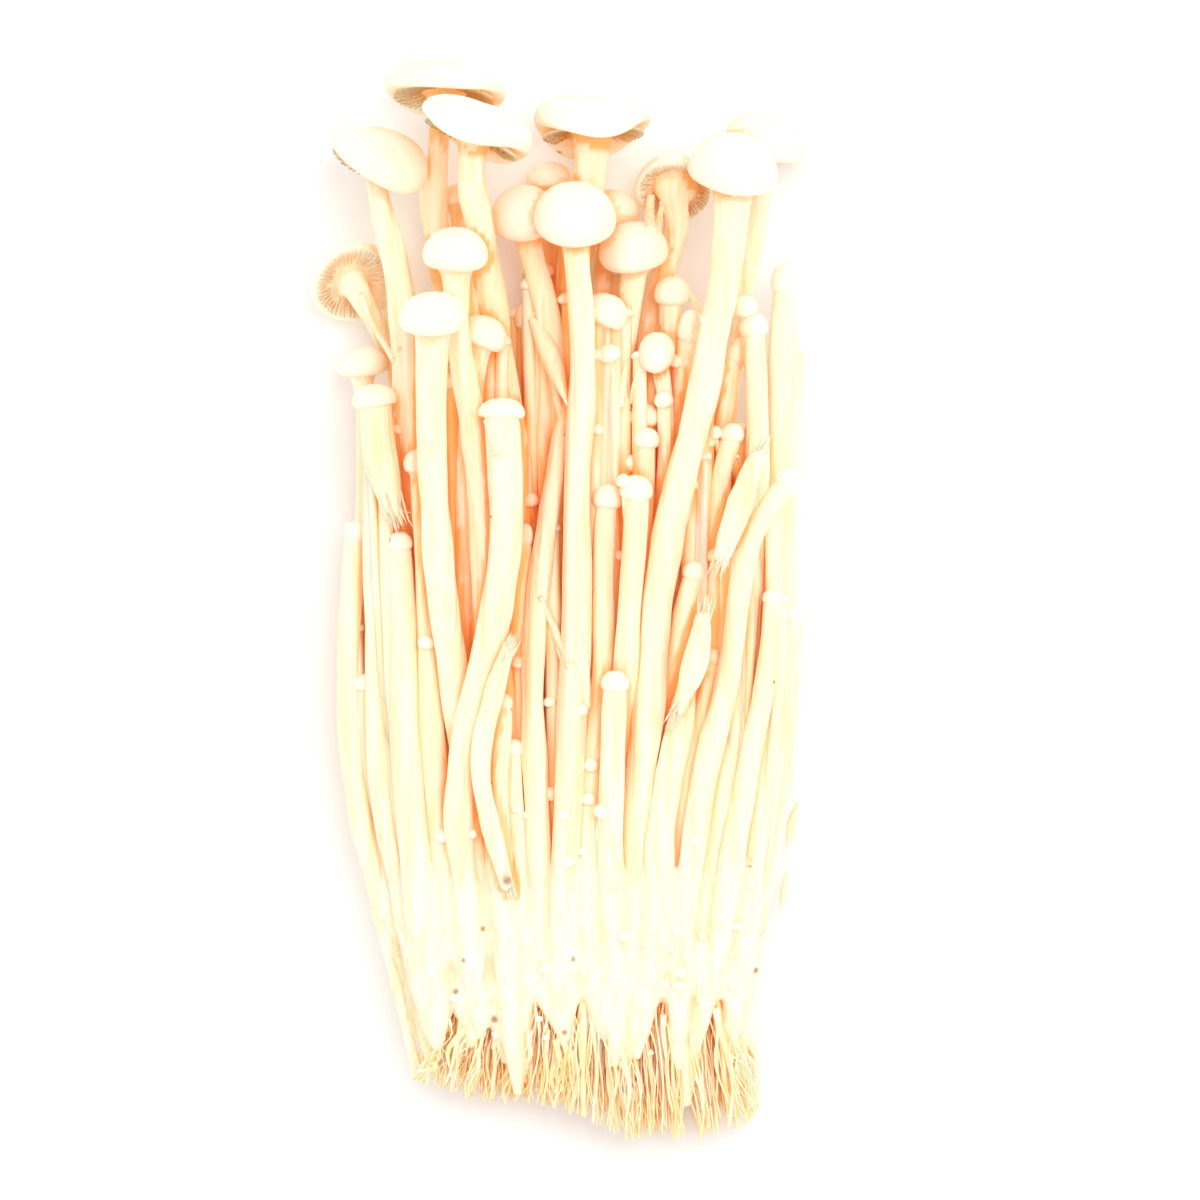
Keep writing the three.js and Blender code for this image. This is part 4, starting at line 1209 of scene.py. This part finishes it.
class ENOKI_OT_stage(bpy.types.Operator):
    """Sets up the table, the light and the camera."""

    bl_idname = "enoki.stage"
    bl_label = "Stage"

    def execute(self, context):
        stage = context.scene.enoki_stage
        bpy.ops.object.select_all(action="DESELECT")
        bpy.ops.mesh.primitive_plane_add(size=6, location=(0, 0, 0))
        floor = context.object
        floor.name = "table"
        recipe = Recipe("table_white")
        recipe.shader.inputs["Base Color"].default_value = (0.95, 0.95, 0.96, 1)
        recipe.shader.inputs["Roughness"].default_value = 0.9
        floor.data.materials.append(recipe.material)

        world = bpy.data.worlds.new("studio")
        world.use_nodes = True
        world.node_tree.nodes["Background"].inputs["Color"].default_value = (1, 1, 1, 1)
        world.node_tree.nodes["Background"].inputs["Strength"].default_value = stage.sky
        context.scene.world = world

        light = bpy.data.lights.new("softbox", "AREA")
        light.shape = "DISK"
        light.size = 0.55
        light.energy = stage.key_power
        light.color = (1.0, 0.99, 0.97)
        softbox = bpy.data.objects.new("softbox", light)
        softbox.location = (0.22, 0.25, 0.95)
        aim = Vector((0, 0, 0)) - softbox.location
        softbox.rotation_euler = aim.to_track_quat("-Z", "Y").to_euler()
        context.scene.collection.objects.link(softbox)

        lens = bpy.data.cameras.new("overhead")
        lens.sensor_width = 36
        reach = stage.camera_height - BUNCH_MIDDLE
        lens.lens = lens.sensor_width * reach / stage.view_width
        lens.clip_start = 0.01
        camera = bpy.data.objects.new("overhead", lens)
        camera.location = (5.7 * MM, 0.3 * MM, stage.camera_height)
        context.scene.collection.objects.link(camera)
        context.scene.camera = camera
        context.scene.view_settings.view_transform = "Standard"
        context.scene.cycles.max_bounces = 24
        context.scene.cycles.diffuse_bounces = 20
        return {"FINISHED"}


# ------------------------------------------------------------------ panel and registration

STEPS = ("stage", "mushrooms", "broken_stems", "base", "root_fringe", "shoots", "torn_strips",
         "pinheads", "depth")


class ENOKI_PT_panel(bpy.types.Panel):
    """Lists the pieces of the bunch."""

    bl_label = "Enoki bunch"
    bl_idname = "ENOKI_PT_panel"
    bl_space_type = "VIEW_3D"
    bl_region_type = "UI"
    bl_category = "Enoki"

    def draw(self, context):
        for settings in (context.scene.enoki_flesh, context.scene.enoki_shape,
                         context.scene.enoki_stage):
            box = self.layout.box()
            for key in settings.__annotations__:
                box.prop(settings, key)
        for step in STEPS:
            self.layout.operator(f"enoki.{step}")


CLASSES = (FleshSettings, ShapeSettings, StageSettings, ENOKI_OT_stage, ENOKI_OT_mushrooms,
           ENOKI_OT_broken_stems, ENOKI_OT_base, ENOKI_OT_root_fringe, ENOKI_OT_shoots,
           ENOKI_OT_torn_strips, ENOKI_OT_pinheads, ENOKI_OT_depth, ENOKI_PT_panel)


def register():
    for kind in CLASSES:
        bpy.utils.register_class(kind)
    bpy.types.Scene.enoki_flesh = bpy.props.PointerProperty(type=FleshSettings)
    bpy.types.Scene.enoki_shape = bpy.props.PointerProperty(type=ShapeSettings)
    bpy.types.Scene.enoki_stage = bpy.props.PointerProperty(type=StageSettings)


def unregister():
    del bpy.types.Scene.enoki_flesh
    del bpy.types.Scene.enoki_shape
    del bpy.types.Scene.enoki_stage
    for kind in reversed(CLASSES):
        bpy.utils.unregister_class(kind)


def main():
    register()
    for step in STEPS:
        getattr(bpy.ops.enoki, step)()


if __name__ == "__main__":
    main()
